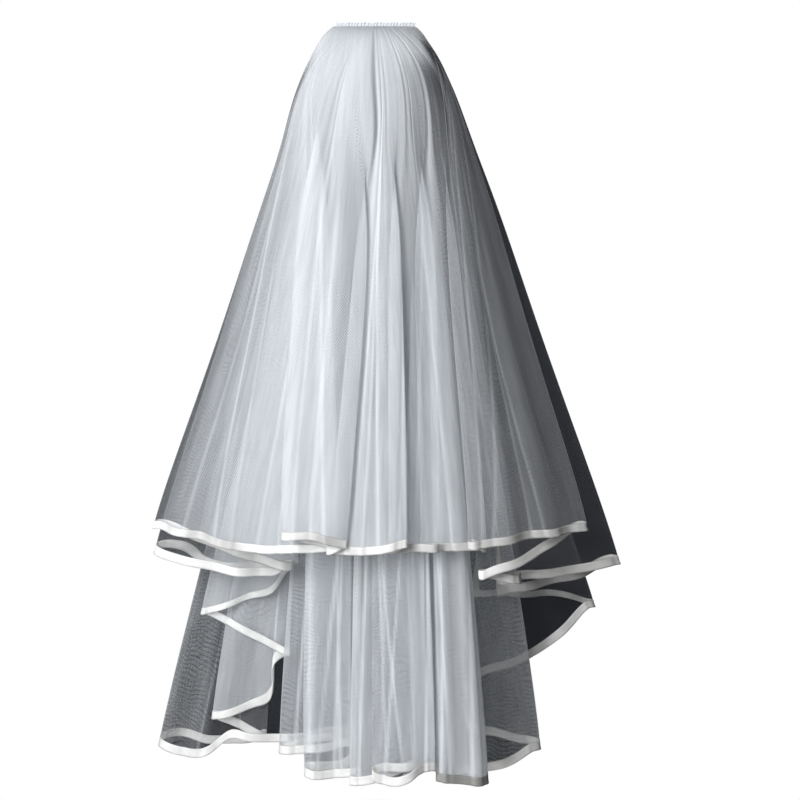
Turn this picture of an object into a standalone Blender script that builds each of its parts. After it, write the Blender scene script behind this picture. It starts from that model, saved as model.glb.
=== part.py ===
"""Two-tier bridal veil on a hair comb, at real size in metres.

The origin is the middle of the comb's spine, +Z is up and -Y is the outer side,
which faces away from the wearer's head.  Each tier is one gathered cloth: its hem
is a plan of folds, its top edge is drawn together on the comb, and the cloth runs
from one to the other over a rounded shoulder.
"""

import math
from collections import namedtuple

import bmesh
import bpy
import numpy as np

# Driving sizes of the whole veil.
CLOTH_WALL = 0.001
RIBBON_WALL = 0.001
RIBBON_WIDTH = 0.0095
SEAM_GAP = 0.0003
GATHER_HALF_WIDTH = 0.041
HEADING_HEIGHT = 0.0045

# The gathering pleats along the comb, and how much the cloth bunches at its ends.
PLEAT_PITCH = 0.0041
PLEAT_DEPTH = 0.00035
PLEAT_FADE = 0.05
GATHER_BUNCH = 1.5

# The rounded shoulder: how early the cloth reaches its depth and its width.  What hangs
# behind the comb first passes its ends, and so reaches its depth later.
DEPTH_POWER = 0.32
BACK_POWER = 0.6
BACK_START = 0.03
SHOULDER_RISE = 0.07
SHOULDER_FALL = 0.8

# How much wider the crown's bulge is, and how much narrower the middle of the drop.
CROWN_SPREAD = 0.19
CROWN_RISE = 0.012
CROWN_END = 0.17
WAIST = 0.03

# Small turns of the hem die out towards the comb, over this many columns.
SOFT_COLUMNS = 18.0
SOFT_LEAST = 0.15

# Sampling of the hem line.
CURVE_STEPS = 24
TURN_LENGTH = 0.006
TURN_INSET = 0.010
HEIGHT_SHARES = (0.0, 0.018, 0.06, 0.14, 0.28, 0.46, 0.66, 0.84, 1.0)
RIBBON_SIDE_SHARES = (0.28, 0.46, 0.66, 0.84)
RIBBON_FULL_SHARE = 0.5
STEEPEST_HEM = 2.2

# The comb.
COMB_THICKNESS = 0.0016
COMB_WIDTH = 0.066
SPINE_HEIGHT = 0.005
TOOTH_COUNT = 16
TOOTH_WIDTH = 0.0018
TOOTH_LENGTH = 0.034
TOOTH_BEND = 0.004
# The level and the width of each row of a tooth; level -1 is the top of the spine.
COMB_ROWS = ((-1, 1.0), (0.0, 1.0), (0.5, 1.0), (0.9, 0.85), (1.0, 0.5))

Fold = namedtuple("Fold", "name x z depth_in depth_out shoulder_x")
Ripple = namedtuple("Ripple", "length depth swell_length swell phase calm")
Tier = namedtuple("Tier", "folds top_depth columns soft_fade ripples")

# A row is one turn of the hem, from the left side edge to the right one.  The cloth
# comes to it at depth_in and leaves at depth_out; where the two are alike it only
# passes by.  shoulder_x is where the fold's line would meet the comb's level, because
# the cloth spreads out past the comb before it falls.
UPPER_FOLDS = (
    Fold("left_edge", -0.096, -0.552, -0.018, -0.018, -0.058),
    Fold("tucked", -0.145, -0.555, -0.016, -0.016, -0.061),
    Fold("left_back", -0.232, -0.548, -0.014, -0.028, -0.064),
    Fold("back_run", -0.186, -0.545, -0.038, -0.038, -0.060),
    Fold("left_inner", -0.055, -0.543, -0.064, -0.078, -0.044),
    Fold("middle_run", -0.159, -0.535, -0.056, -0.056, -0.058),
    Fold("left_front", -0.231, -0.513, -0.041, -0.054, -0.060),
    Fold("front_run", -0.174, -0.518, -0.078, -0.078, -0.062),
    Fold("front_run_end", -0.136, -0.524, -0.092, -0.092, -0.056),
    Fold("first_tuck", -0.069, -0.524, -0.106, -0.120, -0.050),
    Fold("first_panel", -0.092, -0.511, -0.120, -0.132, -0.066),
    Fold("first_bow", -0.058, -0.505, -0.137, -0.137, -0.030),
    Fold("second_tuck", -0.026, -0.516, -0.134, -0.122, 0.010),
    Fold("second_panel", -0.048, -0.522, -0.122, -0.111, 0.000),
    Fold("second_bow", -0.008, -0.522, -0.124, -0.124, 0.010),
    Fold("third_tuck", 0.033, -0.516, -0.131, -0.119, 0.024),
    Fold("third_panel", 0.014, -0.524, -0.119, -0.108, 0.014),
    Fold("fourth_tuck", 0.064, -0.522, -0.118, -0.108, 0.058),
    Fold("fourth_panel", 0.046, -0.526, -0.108, -0.098, 0.034),
    Fold("fifth_tuck", 0.113, -0.526, -0.100, -0.110, 0.064),
    Fold("right_panel", 0.093, -0.518, -0.110, -0.121, 0.056),
    Fold("right_run", 0.157, -0.511, -0.108, -0.108, 0.068),
    Fold("right_front", 0.218, -0.507, -0.086, -0.072, 0.072),
    Fold("right_back_run", 0.160, -0.533, -0.084, -0.084, 0.066),
    Fold("right_inner", 0.107, -0.559, -0.092, -0.080, 0.062),
    Fold("small_turn", 0.152, -0.569, -0.072, -0.060, 0.062),
    Fold("small_return", 0.125, -0.567, -0.064, -0.052, 0.060),
    Fold("far_run", 0.200, -0.560, -0.048, -0.048, 0.062),
    Fold("right_back", 0.260, -0.554, -0.040, -0.026, 0.064),
    Fold("last_run", 0.223, -0.569, -0.028, -0.028, 0.062),
    Fold("right_edge", 0.136, -0.586, -0.029, -0.029, 0.058),
)

LOWER_FOLDS = (
    Fold("left_edge", -0.103, -0.591, 0.068, 0.068, -0.062),
    Fold("first_cascade", -0.191, -0.625, 0.066, 0.054, -0.060),
    Fold("first_return", -0.088, -0.676, 0.054, 0.042, -0.056),
    Fold("straight_fall", -0.118, -0.708, 0.042, 0.042, -0.056),
    Fold("second_cascade", -0.179, -0.744, 0.042, 0.030, -0.058),
    Fold("second_return", -0.114, -0.767, 0.030, 0.018, -0.056),
    Fold("back_run", -0.177, -0.762, 0.018, 0.018, -0.048),
    Fold("left_side", -0.238, -0.766, 0.020, 0.004, -0.046),
    Fold("side_run", -0.185, -0.779, -0.003, -0.003, -0.048),
    Fold("side_run_rise", -0.147, -0.756, -0.006, -0.006, -0.046),
    Fold("side_run_end", -0.098, -0.758, -0.008, -0.008, -0.046),
    Fold("first_tuck", -0.026, -0.746, -0.010, -0.022, -0.026),
    Fold("first_panel", -0.103, -0.762, -0.020, -0.032, -0.045),
    Fold("first_bow", -0.072, -0.760, -0.035, -0.035, -0.040),
    Fold("second_tuck", -0.024, -0.752, -0.037, -0.048, -0.022),
    Fold("second_panel", -0.075, -0.776, -0.048, -0.060, -0.056),
    Fold("third_tuck", -0.014, -0.780, -0.060, -0.070, -0.010),
    Fold("third_panel", -0.027, -0.775, -0.070, -0.080, -0.008),
    Fold("fourth_tuck", 0.011, -0.775, -0.078, -0.088, 0.008),
    Fold("fourth_panel", -0.001, -0.772, -0.088, -0.098, 0.002),
    Fold("front_bow", 0.026, -0.773, -0.101, -0.101, 0.014),
    Fold("fifth_tuck", 0.058, -0.759, -0.095, -0.083, 0.036),
    Fold("fifth_panel", 0.039, -0.768, -0.081, -0.070, 0.030),
    Fold("sixth_tuck", 0.083, -0.776, -0.062, -0.074, 0.046),
    Fold("sixth_panel", 0.066, -0.781, -0.076, -0.088, 0.048),
    Fold("right_side", 0.119, -0.777, -0.084, -0.046, 0.050),
    Fold("side_return", 0.071, -0.781, -0.040, -0.026, 0.048),
    Fold("far_run", 0.117, -0.783, -0.016, -0.016, 0.054),
    Fold("right_back", 0.179, -0.763, -0.006, 0.022, 0.062),
    Fold("lower_return_run", 0.135, -0.761, 0.025, 0.025, 0.060),
    Fold("rounded_return", 0.096, -0.723, 0.028, 0.050, 0.068),
    Fold("rising_run", 0.170, -0.685, 0.058, 0.058, 0.064),
    Fold("far_right", 0.245, -0.629, 0.060, 0.076, 0.062),
    Fold("last_run", 0.190, -0.614, 0.080, 0.080, 0.066),
    Fold("right_edge", 0.108, -0.614, 0.082, 0.082, 0.069),
)

# The gathers between the folds; calm is the turn radius at which they are halved.
RIPPLES = Ripple(
    length=0.050, depth=0.0028, swell_length=0.23, swell=0.45, phase=0.7, calm=0.012
)
UPPER_TIER = Tier(UPPER_FOLDS, -0.0048, columns=158, soft_fade=0.13, ripples=RIPPLES)
LOWER_TIER = Tier(LOWER_FOLDS, -0.0026, columns=164, soft_fade=0.14, ripples=RIPPLES)

# Colours are linear RGB.
TULLE_COLOUR = (0.78, 0.82, 0.86)
RIBBON_COLOUR = (0.90, 0.90, 0.88)
COMB_COLOUR = (0.78, 0.80, 0.80)


def clear_scene():
    """Remove every object of the scene."""
    for item in list(bpy.data.objects):
        bpy.data.objects.remove(item, do_unlink=True)


def principled(name, colour, roughness):
    """A material of one colour and roughness."""
    material = bpy.data.materials.new(name)
    material.use_nodes = True
    shader = material.node_tree.nodes["Principled BSDF"]
    shader.inputs["Base Color"].default_value = (*colour, 1.0)
    shader.inputs["Roughness"].default_value = roughness
    shader.inputs["Metallic"].default_value = 0.0
    return material


def fold_points(folds):
    """Control points of the hem: x, y, z and shoulder_x.

    A turn is three points: just before its tip, the tip, and just after it.
    """
    points = []
    for index, fold in enumerate(folds):
        if fold.depth_in == fold.depth_out:
            points.append((fold.x, fold.depth_in, fold.z, fold.shoulder_x))
            continue
        neighbours = folds[index - 1].x + folds[index + 1].x
        side = math.copysign(1.0, 2 * fold.x - neighbours)
        reach = 0.5 * abs(fold.depth_out - fold.depth_in)
        inset = fold.x - side * min(reach, TURN_INSET)
        middle = 0.5 * (fold.depth_in + fold.depth_out)
        points.append((inset, fold.depth_in, fold.z, fold.shoulder_x))
        points.append((fold.x, middle, fold.z, fold.shoulder_x))
        points.append((inset, fold.depth_out, fold.z, fold.shoulder_x))
    return np.array(points)


def smooth_curve(points, steps):
    """A centripetal Catmull-Rom curve through the points; shoulder_x runs straight."""
    places = points[:, :3]
    before = 2 * places[0] - places[1]
    after = 2 * places[-1] - places[-2]
    padded = np.vstack([before, places, after])
    gaps = np.sqrt(np.linalg.norm(np.diff(padded, axis=0), axis=1))
    knots = np.concatenate([[0.0], np.cumsum(gaps)])
    samples = []
    for index in range(1, len(padded) - 2):
        p0, p1, p2, p3 = padded[index - 1 : index + 3]
        t0, t1, t2, t3 = knots[index - 1 : index + 3]
        for step in range(steps):
            share = step / steps
            t = t1 + share * (t2 - t1)
            a1 = ((t1 - t) * p0 + (t - t0) * p1) / (t1 - t0)
            a2 = ((t2 - t) * p1 + (t - t1) * p2) / (t2 - t1)
            a3 = ((t3 - t) * p2 + (t - t2) * p3) / (t3 - t2)
            b1 = ((t2 - t) * a1 + (t - t0) * a2) / (t2 - t0)
            b2 = ((t3 - t) * a2 + (t - t1) * a3) / (t3 - t1)
            place = ((t2 - t) * b1 + (t - t1) * b2) / (t2 - t1)
            others = points[index - 1, 3:] * (1 - share) + points[index, 3:] * share
            samples.append(np.concatenate([place, others]))
    samples.append(points[-1])
    return np.array(samples)


def hem_line(tier):
    """The hem at its columns: x, y, z, shoulder_x, top_x and length along the hem."""
    curve = smooth_curve(fold_points(tier.folds), CURVE_STEPS)
    steps = np.diff(curve[:, :2], axis=0)
    lengths = np.linalg.norm(steps, axis=1)
    headings = np.unwrap(np.arctan2(steps[:, 1], steps[:, 0]))
    turns = np.abs(np.diff(headings, prepend=headings[0]))
    along = np.concatenate([[0.0], np.cumsum(lengths)])
    measure = np.concatenate([[0.0], np.cumsum(lengths + TURN_LENGTH * turns)])
    wanted = np.linspace(0.0, measure[-1], tier.columns)
    fields = [np.interp(wanted, measure, curve[:, field]) for field in range(4)]
    lengthwise = np.interp(wanted, measure, along)
    share = 2 * lengthwise / lengthwise[-1] - 1
    top_x = GATHER_HALF_WIDTH * np.tanh(GATHER_BUNCH * share) / math.tanh(GATHER_BUNCH)
    return np.array(fields + [top_x, lengthwise])


def softened(values, columns):
    """The values averaged over a number of columns, by a bell curve that keeps the two ends."""
    reach = math.ceil(3 * columns)
    offsets = np.arange(-reach, reach + 1)
    weights = np.exp(-0.5 * (offsets / columns) ** 2)
    before = 2 * values[0] - values[reach:0:-1]
    after = 2 * values[-1] - values[-2 : -reach - 2 : -1]
    padded = np.concatenate([before, values, after])
    return np.convolve(padded, weights / weights.sum(), mode="valid")


def ripple_offsets(hem, ripples):
    """Sideways offsets of the hem's columns that make its gathers, as x and y."""
    x, y, along = hem[0], hem[1], hem[5]
    run_x = np.gradient(x)
    run_y = np.gradient(y)
    size = np.hypot(run_x, run_y)
    turning = np.gradient(np.unwrap(np.arctan2(run_y, run_x))) / size
    calm = 1 / (1 + (turning * ripples.calm) ** 2)
    swell = 1 + ripples.swell * np.sin(2 * math.pi * along / ripples.swell_length + ripples.phase)
    height = ripples.depth * calm * swell * np.sin(2 * math.pi * along / ripples.length)
    return -run_y / size * height, run_x / size * height


def tier_row(tier, hem, share):
    """The cloth's points at one share of the drop: 0 on the comb, 1 in the ribbon's middle."""
    drop = np.asarray(share, float)
    ripple_x, ripple_y = ripple_offsets(hem, tier.ripples)
    fields = [*hem[:4], ripple_x, ripple_y]
    spread = SOFT_COLUMNS * math.exp(-float(drop.mean()) / tier.soft_fade)
    if spread > SOFT_LEAST:
        fields = [softened(field, spread) for field in fields]
    x, y, z, shoulder_x, ripple_x, ripple_y = fields
    top_x = hem[4]
    shoulder = (1 - np.exp(-drop / SHOULDER_RISE)) * np.clip(1 - drop, 0, 1) ** SHOULDER_FALL
    back = drop**BACK_POWER * (1 - np.exp(-drop / BACK_START))
    deep = np.where(y < 0, drop**DEPTH_POWER, back)
    pleat = PLEAT_DEPTH * np.cos(2 * math.pi * top_x / PLEAT_PITCH)
    pleat = pleat * (1 - (top_x / GATHER_HALF_WIDTH) ** 2) * np.exp(-drop / PLEAT_FADE)
    row_x = top_x + (x - top_x) * drop + (shoulder_x - top_x) * shoulder + ripple_x * drop
    crown = (1 - np.exp(-drop / CROWN_RISE)) * np.exp(-((drop / CROWN_END) ** 3))
    row_x = row_x * (1 + CROWN_SPREAD * crown - WAIST * np.sin(math.pi * drop) ** 2)
    row_y = tier.top_depth * (1 - drop) + pleat + y * deep + ripple_y * drop
    row_z = drop * (z.mean() + (z - z.mean()) * drop)
    return np.stack([row_x, row_y, row_z], axis=-1)


def column_lengths(hem):
    """How long each column of cloth is from the comb to the hem."""
    x, y, z, _, top_x, _ = hem
    return np.sqrt((x - top_x) ** 2 + y**2 + z**2)


def hem_slant(hem):
    """How much longer than square a strip's width is, where the hem climbs or drops."""
    run = np.hypot(np.gradient(hem[0]), np.gradient(hem[1]))
    climb = np.gradient(hem[2]) / run
    return np.minimum(np.sqrt(1 + climb**2), STEEPEST_HEM)


def cloth_grid(tier, hem):
    """Rows of points of the tulle, from its heading above the comb to the ribbon."""
    lengths = column_lengths(hem) / hem_slant(hem)
    edge = 1 - (RIBBON_WIDTH / 2 + SEAM_GAP / 2) / lengths
    rows = [tier_row(tier, hem, edge * share) for share in HEIGHT_SHARES]
    heading = rows[0] + np.array([0.0, 0.0, HEADING_HEIGHT])
    return np.array([heading] + rows)


def ribbon_grid(tier, hem):
    """The ribbon's inner and outer edge, up one side, along the hem and up the other."""
    lengths = column_lengths(hem) / hem_slant(hem)
    inner_share = 1 - (RIBBON_WIDTH / 2 - SEAM_GAP / 2) / lengths
    outer_share = 1 + RIBBON_WIDTH / 2 / lengths
    inner = tier_row(tier, hem, inner_share)
    outer = tier_row(tier, hem, outer_share)
    left_inner, left_outer = ribbon_side(tier, hem, 0, 1)
    right_inner, right_outer = ribbon_side(tier, hem, -1, -2)
    inner_row = np.vstack([left_inner, side_shift(inner, 0, 1), inner[1:-1]])
    outer_row = np.vstack([left_outer, corner(inner, outer, 0, 1), outer[1:-1]])
    inner_row = np.vstack([inner_row, side_shift(inner, -1, -2), right_inner[::-1]])
    outer_row = np.vstack([outer_row, corner(inner, outer, -1, -2), right_outer[::-1]])
    return np.array([inner_row, outer_row])


def outward(row, end, neighbour):
    """The unit direction in which a row of points runs out past its end."""
    step = row[end] - row[neighbour]
    return step / np.linalg.norm(step)


def side_shift(row, end, neighbour):
    """The row's end point, moved out by the seam's gap."""
    return (row[end] + outward(row, end, neighbour) * SEAM_GAP)[None, :]


def corner(inner, outer, end, neighbour):
    """The mitred outer corner of the ribbon at one end of the hem."""
    away = outward(inner, end, neighbour) * (SEAM_GAP + RIBBON_WIDTH)
    return (outer[end] + away)[None, :]


def ribbon_side(tier, hem, end, neighbour):
    """The ribbon's two edges up one side of the cloth, narrowed towards the comb."""
    edge = 1 - RIBBON_WIDTH / 2 * hem_slant(hem) / column_lengths(hem)
    inner = []
    outer = []
    for share in RIBBON_SIDE_SHARES:
        row = tier_row(tier, hem, edge * share)
        away = outward(row, end, neighbour)
        width = RIBBON_WIDTH * min(1.0, share / RIBBON_FULL_SHARE)
        inner.append(row[end] + away * SEAM_GAP)
        outer.append(row[end] + away * (SEAM_GAP + width))
    return np.array(inner), np.array(outer)


def cloth_object(name, grid, wall, material, collection):
    """A wall of cloth through a grid of points, as a live Solidify on its middle surface."""
    rows, columns, _ = grid.shape
    mesh = bpy.data.meshes.new(name)
    sheet = bmesh.new()
    bmesh.ops.create_grid(sheet, x_segments=columns - 1, y_segments=rows - 1, size=0.5)
    for vertex in sheet.verts:
        column = round((vertex.co.x + 0.5) * (columns - 1))
        row = round((0.5 - vertex.co.y) * (rows - 1))
        vertex.co = grid[row, column]
    sheet.to_mesh(mesh)
    sheet.free()
    mesh.materials.append(material)
    item = bpy.data.objects.new(name, mesh)
    collection.objects.link(item)
    solidify = item.modifiers.new("Wall", "SOLIDIFY")
    solidify.thickness = wall
    solidify.offset = 0.0
    mesh.shade_smooth()
    return item


def comb_row(sheet, middle, half_width, level):
    """Two points of the comb's sheet at one level: -1 on the spine's top, 1 at a tooth's tip."""
    if level < 0:
        height = SPINE_HEIGHT / 2
    else:
        height = -SPINE_HEIGHT / 2 - TOOTH_LENGTH * level
    depth = TOOTH_BEND * max(0.0, level) ** 2
    return [sheet.verts.new((middle + side * half_width, depth, height)) for side in (-1, 1)]


def comb_object(material, collection):
    """The plain comb that the cloth is gathered on, its teeth bent in towards the hair."""
    pitch = (COMB_WIDTH - TOOTH_WIDTH) / (TOOTH_COUNT - 1)
    mesh = bpy.data.meshes.new("comb")
    sheet = bmesh.new()
    previous = None
    for tooth in range(TOOTH_COUNT):
        middle = (tooth - (TOOTH_COUNT - 1) / 2) * pitch
        rows = [
            comb_row(sheet, middle, TOOTH_WIDTH / 2 * width, level)
            for level, width in COMB_ROWS
        ]
        for upper, lower in zip(rows, rows[1:]):
            sheet.faces.new((upper[0], lower[0], lower[1], upper[1]))
        if previous:
            sheet.faces.new((previous[0][1], previous[1][1], rows[1][0], rows[0][0]))
        previous = rows
    sheet.to_mesh(mesh)
    sheet.free()
    mesh.materials.append(material)
    item = bpy.data.objects.new("comb", mesh)
    collection.objects.link(item)
    solidify = item.modifiers.new("Thickness", "SOLIDIFY")
    solidify.thickness = COMB_THICKNESS
    solidify.offset = 0.0
    return item


def main():
    """Build the comb, the two tiers and their ribbons."""
    clear_scene()
    collection = bpy.data.collections.new("bridal_veil")
    bpy.context.scene.collection.children.link(collection)
    tulle = principled("tulle", TULLE_COLOUR, 0.85)
    ribbon = principled("satin_ribbon", RIBBON_COLOUR, 0.35)
    plastic = principled("comb_plastic", COMB_COLOUR, 0.25)
    comb_object(plastic, collection)
    for name, tier in (("upper", UPPER_TIER), ("lower", LOWER_TIER)):
        hem = hem_line(tier)
        cloth_object(f"{name}_tier", cloth_grid(tier, hem), CLOTH_WALL, tulle, collection)
        cloth_object(f"{name}_ribbon", ribbon_grid(tier, hem), RIBBON_WALL, ribbon, collection)


main()
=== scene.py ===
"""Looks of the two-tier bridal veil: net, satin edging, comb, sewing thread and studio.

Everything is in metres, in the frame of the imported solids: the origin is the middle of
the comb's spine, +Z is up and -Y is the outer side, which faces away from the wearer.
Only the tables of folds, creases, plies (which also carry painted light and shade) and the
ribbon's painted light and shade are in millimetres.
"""

from __future__ import annotations

import logging
import math
from abc import ABC, abstractmethod
from dataclasses import dataclass
from enum import Enum
from typing import Any, Sequence

import bpy
import numpy as np
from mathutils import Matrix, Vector

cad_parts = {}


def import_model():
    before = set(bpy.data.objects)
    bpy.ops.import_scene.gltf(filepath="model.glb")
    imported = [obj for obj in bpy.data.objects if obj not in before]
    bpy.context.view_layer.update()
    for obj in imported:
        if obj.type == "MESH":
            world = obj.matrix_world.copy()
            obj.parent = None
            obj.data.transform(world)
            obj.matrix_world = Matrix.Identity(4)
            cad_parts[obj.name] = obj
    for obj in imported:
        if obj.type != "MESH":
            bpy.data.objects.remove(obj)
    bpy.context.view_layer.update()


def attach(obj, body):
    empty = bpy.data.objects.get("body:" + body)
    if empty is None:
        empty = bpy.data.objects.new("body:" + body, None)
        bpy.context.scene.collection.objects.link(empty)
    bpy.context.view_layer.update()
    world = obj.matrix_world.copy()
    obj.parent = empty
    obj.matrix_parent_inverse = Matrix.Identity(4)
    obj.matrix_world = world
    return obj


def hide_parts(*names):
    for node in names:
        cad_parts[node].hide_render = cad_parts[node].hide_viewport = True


LOG = logging.getLogger("bridal_veil")
ROOT_BODY = "root"
CLOTH_MAP = "cloth"
MM = 0.001
Colour = tuple[float, float, float]
Point = tuple[float, float, float]
Span = tuple[float, float]
Rows = tuple[tuple[float, ...], ...]


# --------------------------------------------------------------------------- shader kit


class Tone:
    """A number that changes over a surface; its arithmetic adds Math nodes."""

    def __init__(self, graph: Graph, socket: bpy.types.NodeSocket) -> None:
        """Wrap an output socket of a graph."""
        self.graph = graph
        self.socket = socket

    def __add__(self, other: Tone | float) -> Tone:
        """Add."""
        return self.graph.math("ADD", self, other)

    __radd__ = __add__

    def __sub__(self, other: Tone | float) -> Tone:
        """Subtract."""
        return self.graph.math("SUBTRACT", self, other)

    def __rsub__(self, other: float) -> Tone:
        """Subtract this from a plain number."""
        return self.graph.math("SUBTRACT", other, self)

    def __mul__(self, other: Tone | float) -> Tone:
        """Multiply."""
        return self.graph.math("MULTIPLY", self, other)

    def __truediv__(self, other: Tone | float) -> Tone:
        """Divide."""
        return self.graph.math("DIVIDE", self, other)

    def __pow__(self, other: Tone | float) -> Tone:
        """Raise to a power."""
        return self.graph.math("POWER", self, other)

    def ridges(self, pitch: float) -> Tone:
        """Evenly spaced ridges over this length: 0 at each pitch and 1 half way between."""
        return self.graph.math("ABSOLUTE", self.graph.math("SINE", self * (math.pi / pitch)))

    def at_least(self, least: float) -> Tone:
        """This number, or the least that it may be."""
        return self.graph.math("MAXIMUM", self, least)

    def at_most(self, most: float) -> Tone:
        """This number, or the most that it may be."""
        return self.graph.math("MINIMUM", self, most)

    def step(self, low: float, high: float) -> Tone:
        """A soft step of this number, from 0 at low to 1 at high."""
        ends = {"From Min": low, "From Max": high, "To Min": 0.0, "To Max": 1.0}
        inputs = {"Value": self, **ends}
        node = self.graph.add("ShaderNodeMapRange", inputs, interpolation_type="SMOOTHSTEP")
        return Tone(self.graph, node.outputs[0])

    def span(self, low: float, high: Tone | float) -> Tone:
        """This number, which runs from 0 to 1, stretched to run from low to high."""
        return low + self * (high - low)


@dataclass(frozen=True)
class Speckle:
    """Soft noise: how many of its features fit a unit along each axis, and its octaves."""

    scale: Point
    detail: float = 2.0


class Graph:
    """The nodes of one material or of the world."""

    def __init__(self, owner: bpy.types.Material | bpy.types.World) -> None:
        """Empty the owner's nodes, to build them anew."""
        owner.use_nodes = True
        self.tree = owner.node_tree
        self.tree.nodes.clear()

    def add(self, kind: str, inputs: dict[str | int, Any], **settings: Any) -> bpy.types.Node:
        """Add a node.

        Args:
            kind: the node's type.
            inputs: a value, a colour, a socket or a Tone for each named or numbered socket.
            settings: the node's own properties, which are set first.

        Returns:
            The node.
        """
        node = self.tree.nodes.new(kind)
        for name, value in settings.items():
            setattr(node, name, value)
        for name, value in inputs.items():
            source = value.socket if isinstance(value, Tone) else value
            target = node.inputs[name]
            if isinstance(source, bpy.types.NodeSocket):
                self.tree.links.new(source, target)
            elif target.type == "RGBA":
                target.default_value = (*source, 1.0)
            else:
                target.default_value = source
        return node

    def math(self, operation: str, *numbers: Tone | float) -> Tone:
        """What one Math node makes of some numbers."""
        node = self.add("ShaderNodeMath", dict(enumerate(numbers)), operation=operation)
        return Tone(self, node.outputs[0])

    def split(self, vector: bpy.types.NodeSocket) -> list[Tone]:
        """The three numbers of a vector."""
        node = self.add("ShaderNodeSeparateXYZ", {0: vector})
        return [Tone(self, output) for output in node.outputs]

    def place(self) -> bpy.types.NodeSocket:
        """Where the surface is, in the piece's own axes."""
        return self.add("ShaderNodeTexCoord", {}).outputs["Object"]

    def cloth(self) -> bpy.types.NodeSocket:
        """Where the surface is on the flat cloth or ribbon: along it, and down or across it."""
        return self.add("ShaderNodeUVMap", {}, uv_map=CLOTH_MAP).outputs["UV"]

    def attribute(self, name: str) -> Tone:
        """A number that the piece's points carry."""
        node = self.add("ShaderNodeAttribute", {}, attribute_name=name)
        return Tone(self, node.outputs["Fac"])

    def noise(self, vector: bpy.types.NodeSocket, scale: float, detail: float = 2.0) -> Tone:
        """Soft noise about 0.5.

        Args:
            vector: where it is read.
            scale: how many of its features fit a unit.
            detail: its octaves.

        Returns:
            The noise.
        """
        inputs = {"Vector": vector, "Scale": scale, "Detail": detail}
        return Tone(self, self.add("ShaderNodeTexNoise", inputs).outputs["Fac"])

    def speckle(self, vector: bpy.types.NodeSocket, speckle: Speckle) -> Tone:
        """Soft noise about 0.5, stretched differently along each axis."""
        node = self.add("ShaderNodeMapping", {"Vector": vector, "Scale": speckle.scale})
        return self.noise(node.outputs[0], 1.0, speckle.detail)

    def mix_colour(self, factor: Tone, first: Any, second: Any) -> bpy.types.NodeSocket:
        """Mix two colours.

        Args:
            factor: 0 for the first colour and 1 for the second.
            first: a colour or a socket.
            second: a colour or a socket.

        Returns:
            The mixed colour's socket.
        """
        node = self.add("ShaderNodeMix", {0: factor, 6: first, 7: second}, data_type="RGBA")
        return node.outputs[2]

    def bump(self, height: Tone, strength: float, distance: float) -> bpy.types.NodeSocket:
        """A surface direction that is tilted by small hills.

        Args:
            height: how high the hills are, in units of the distance.
            strength: how strongly they show.
            distance: the height of one unit, in metres.

        Returns:
            The direction's socket.
        """
        inputs = {"Strength": strength, "Distance": distance, "Height": height}
        return self.add("ShaderNodeBump", inputs).outputs[0]

    def shader(self, kind: str, inputs: dict[str | int, Any]) -> bpy.types.NodeSocket:
        """Add a shader and take what it gives out."""
        return self.add(kind, inputs).outputs[0]


# ---------------------------------------------------------------------------- finishes


class Finish(ABC):
    """What a surface is made of."""

    def material(self, name: str) -> bpy.types.Material:
        """Make a material of this finish."""
        material = bpy.data.materials.new(name)
        graph = Graph(material)
        graph.add("ShaderNodeOutputMaterial", {"Surface": self.surface(graph)})
        return material

    @abstractmethod
    def surface(self, graph: Graph) -> bpy.types.NodeSocket:
        """Build the finish's nodes and give out their last shader."""


@dataclass(frozen=True)
class WavyLines:
    """Wavy lines in a net: their pitch, how far noise bends them, their edge and depth.

    The depth runs from its first value, where the net lies in many plies, to its second.
    """

    pitch: float
    wide_drift: float
    small_drift: float
    edge: float
    depth: Span

    def show(self, place: Tone, wide: Tone, small: Tone, few: Tone) -> Tone:
        """How much of the net's cover the lines take away.

        Args:
            place: the length across the lines.
            wide: slow noise, which bends them.
            small: quick noise, which bends them.
            few: 1 where few plies lie on each other.

        Returns:
            The share of the cover.
        """
        drifted = place + wide * self.wide_drift + small * self.small_drift
        return (1 - drifted.ridges(self.pitch).step(0.0, self.edge)) * few.span(*self.depth)


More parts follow.
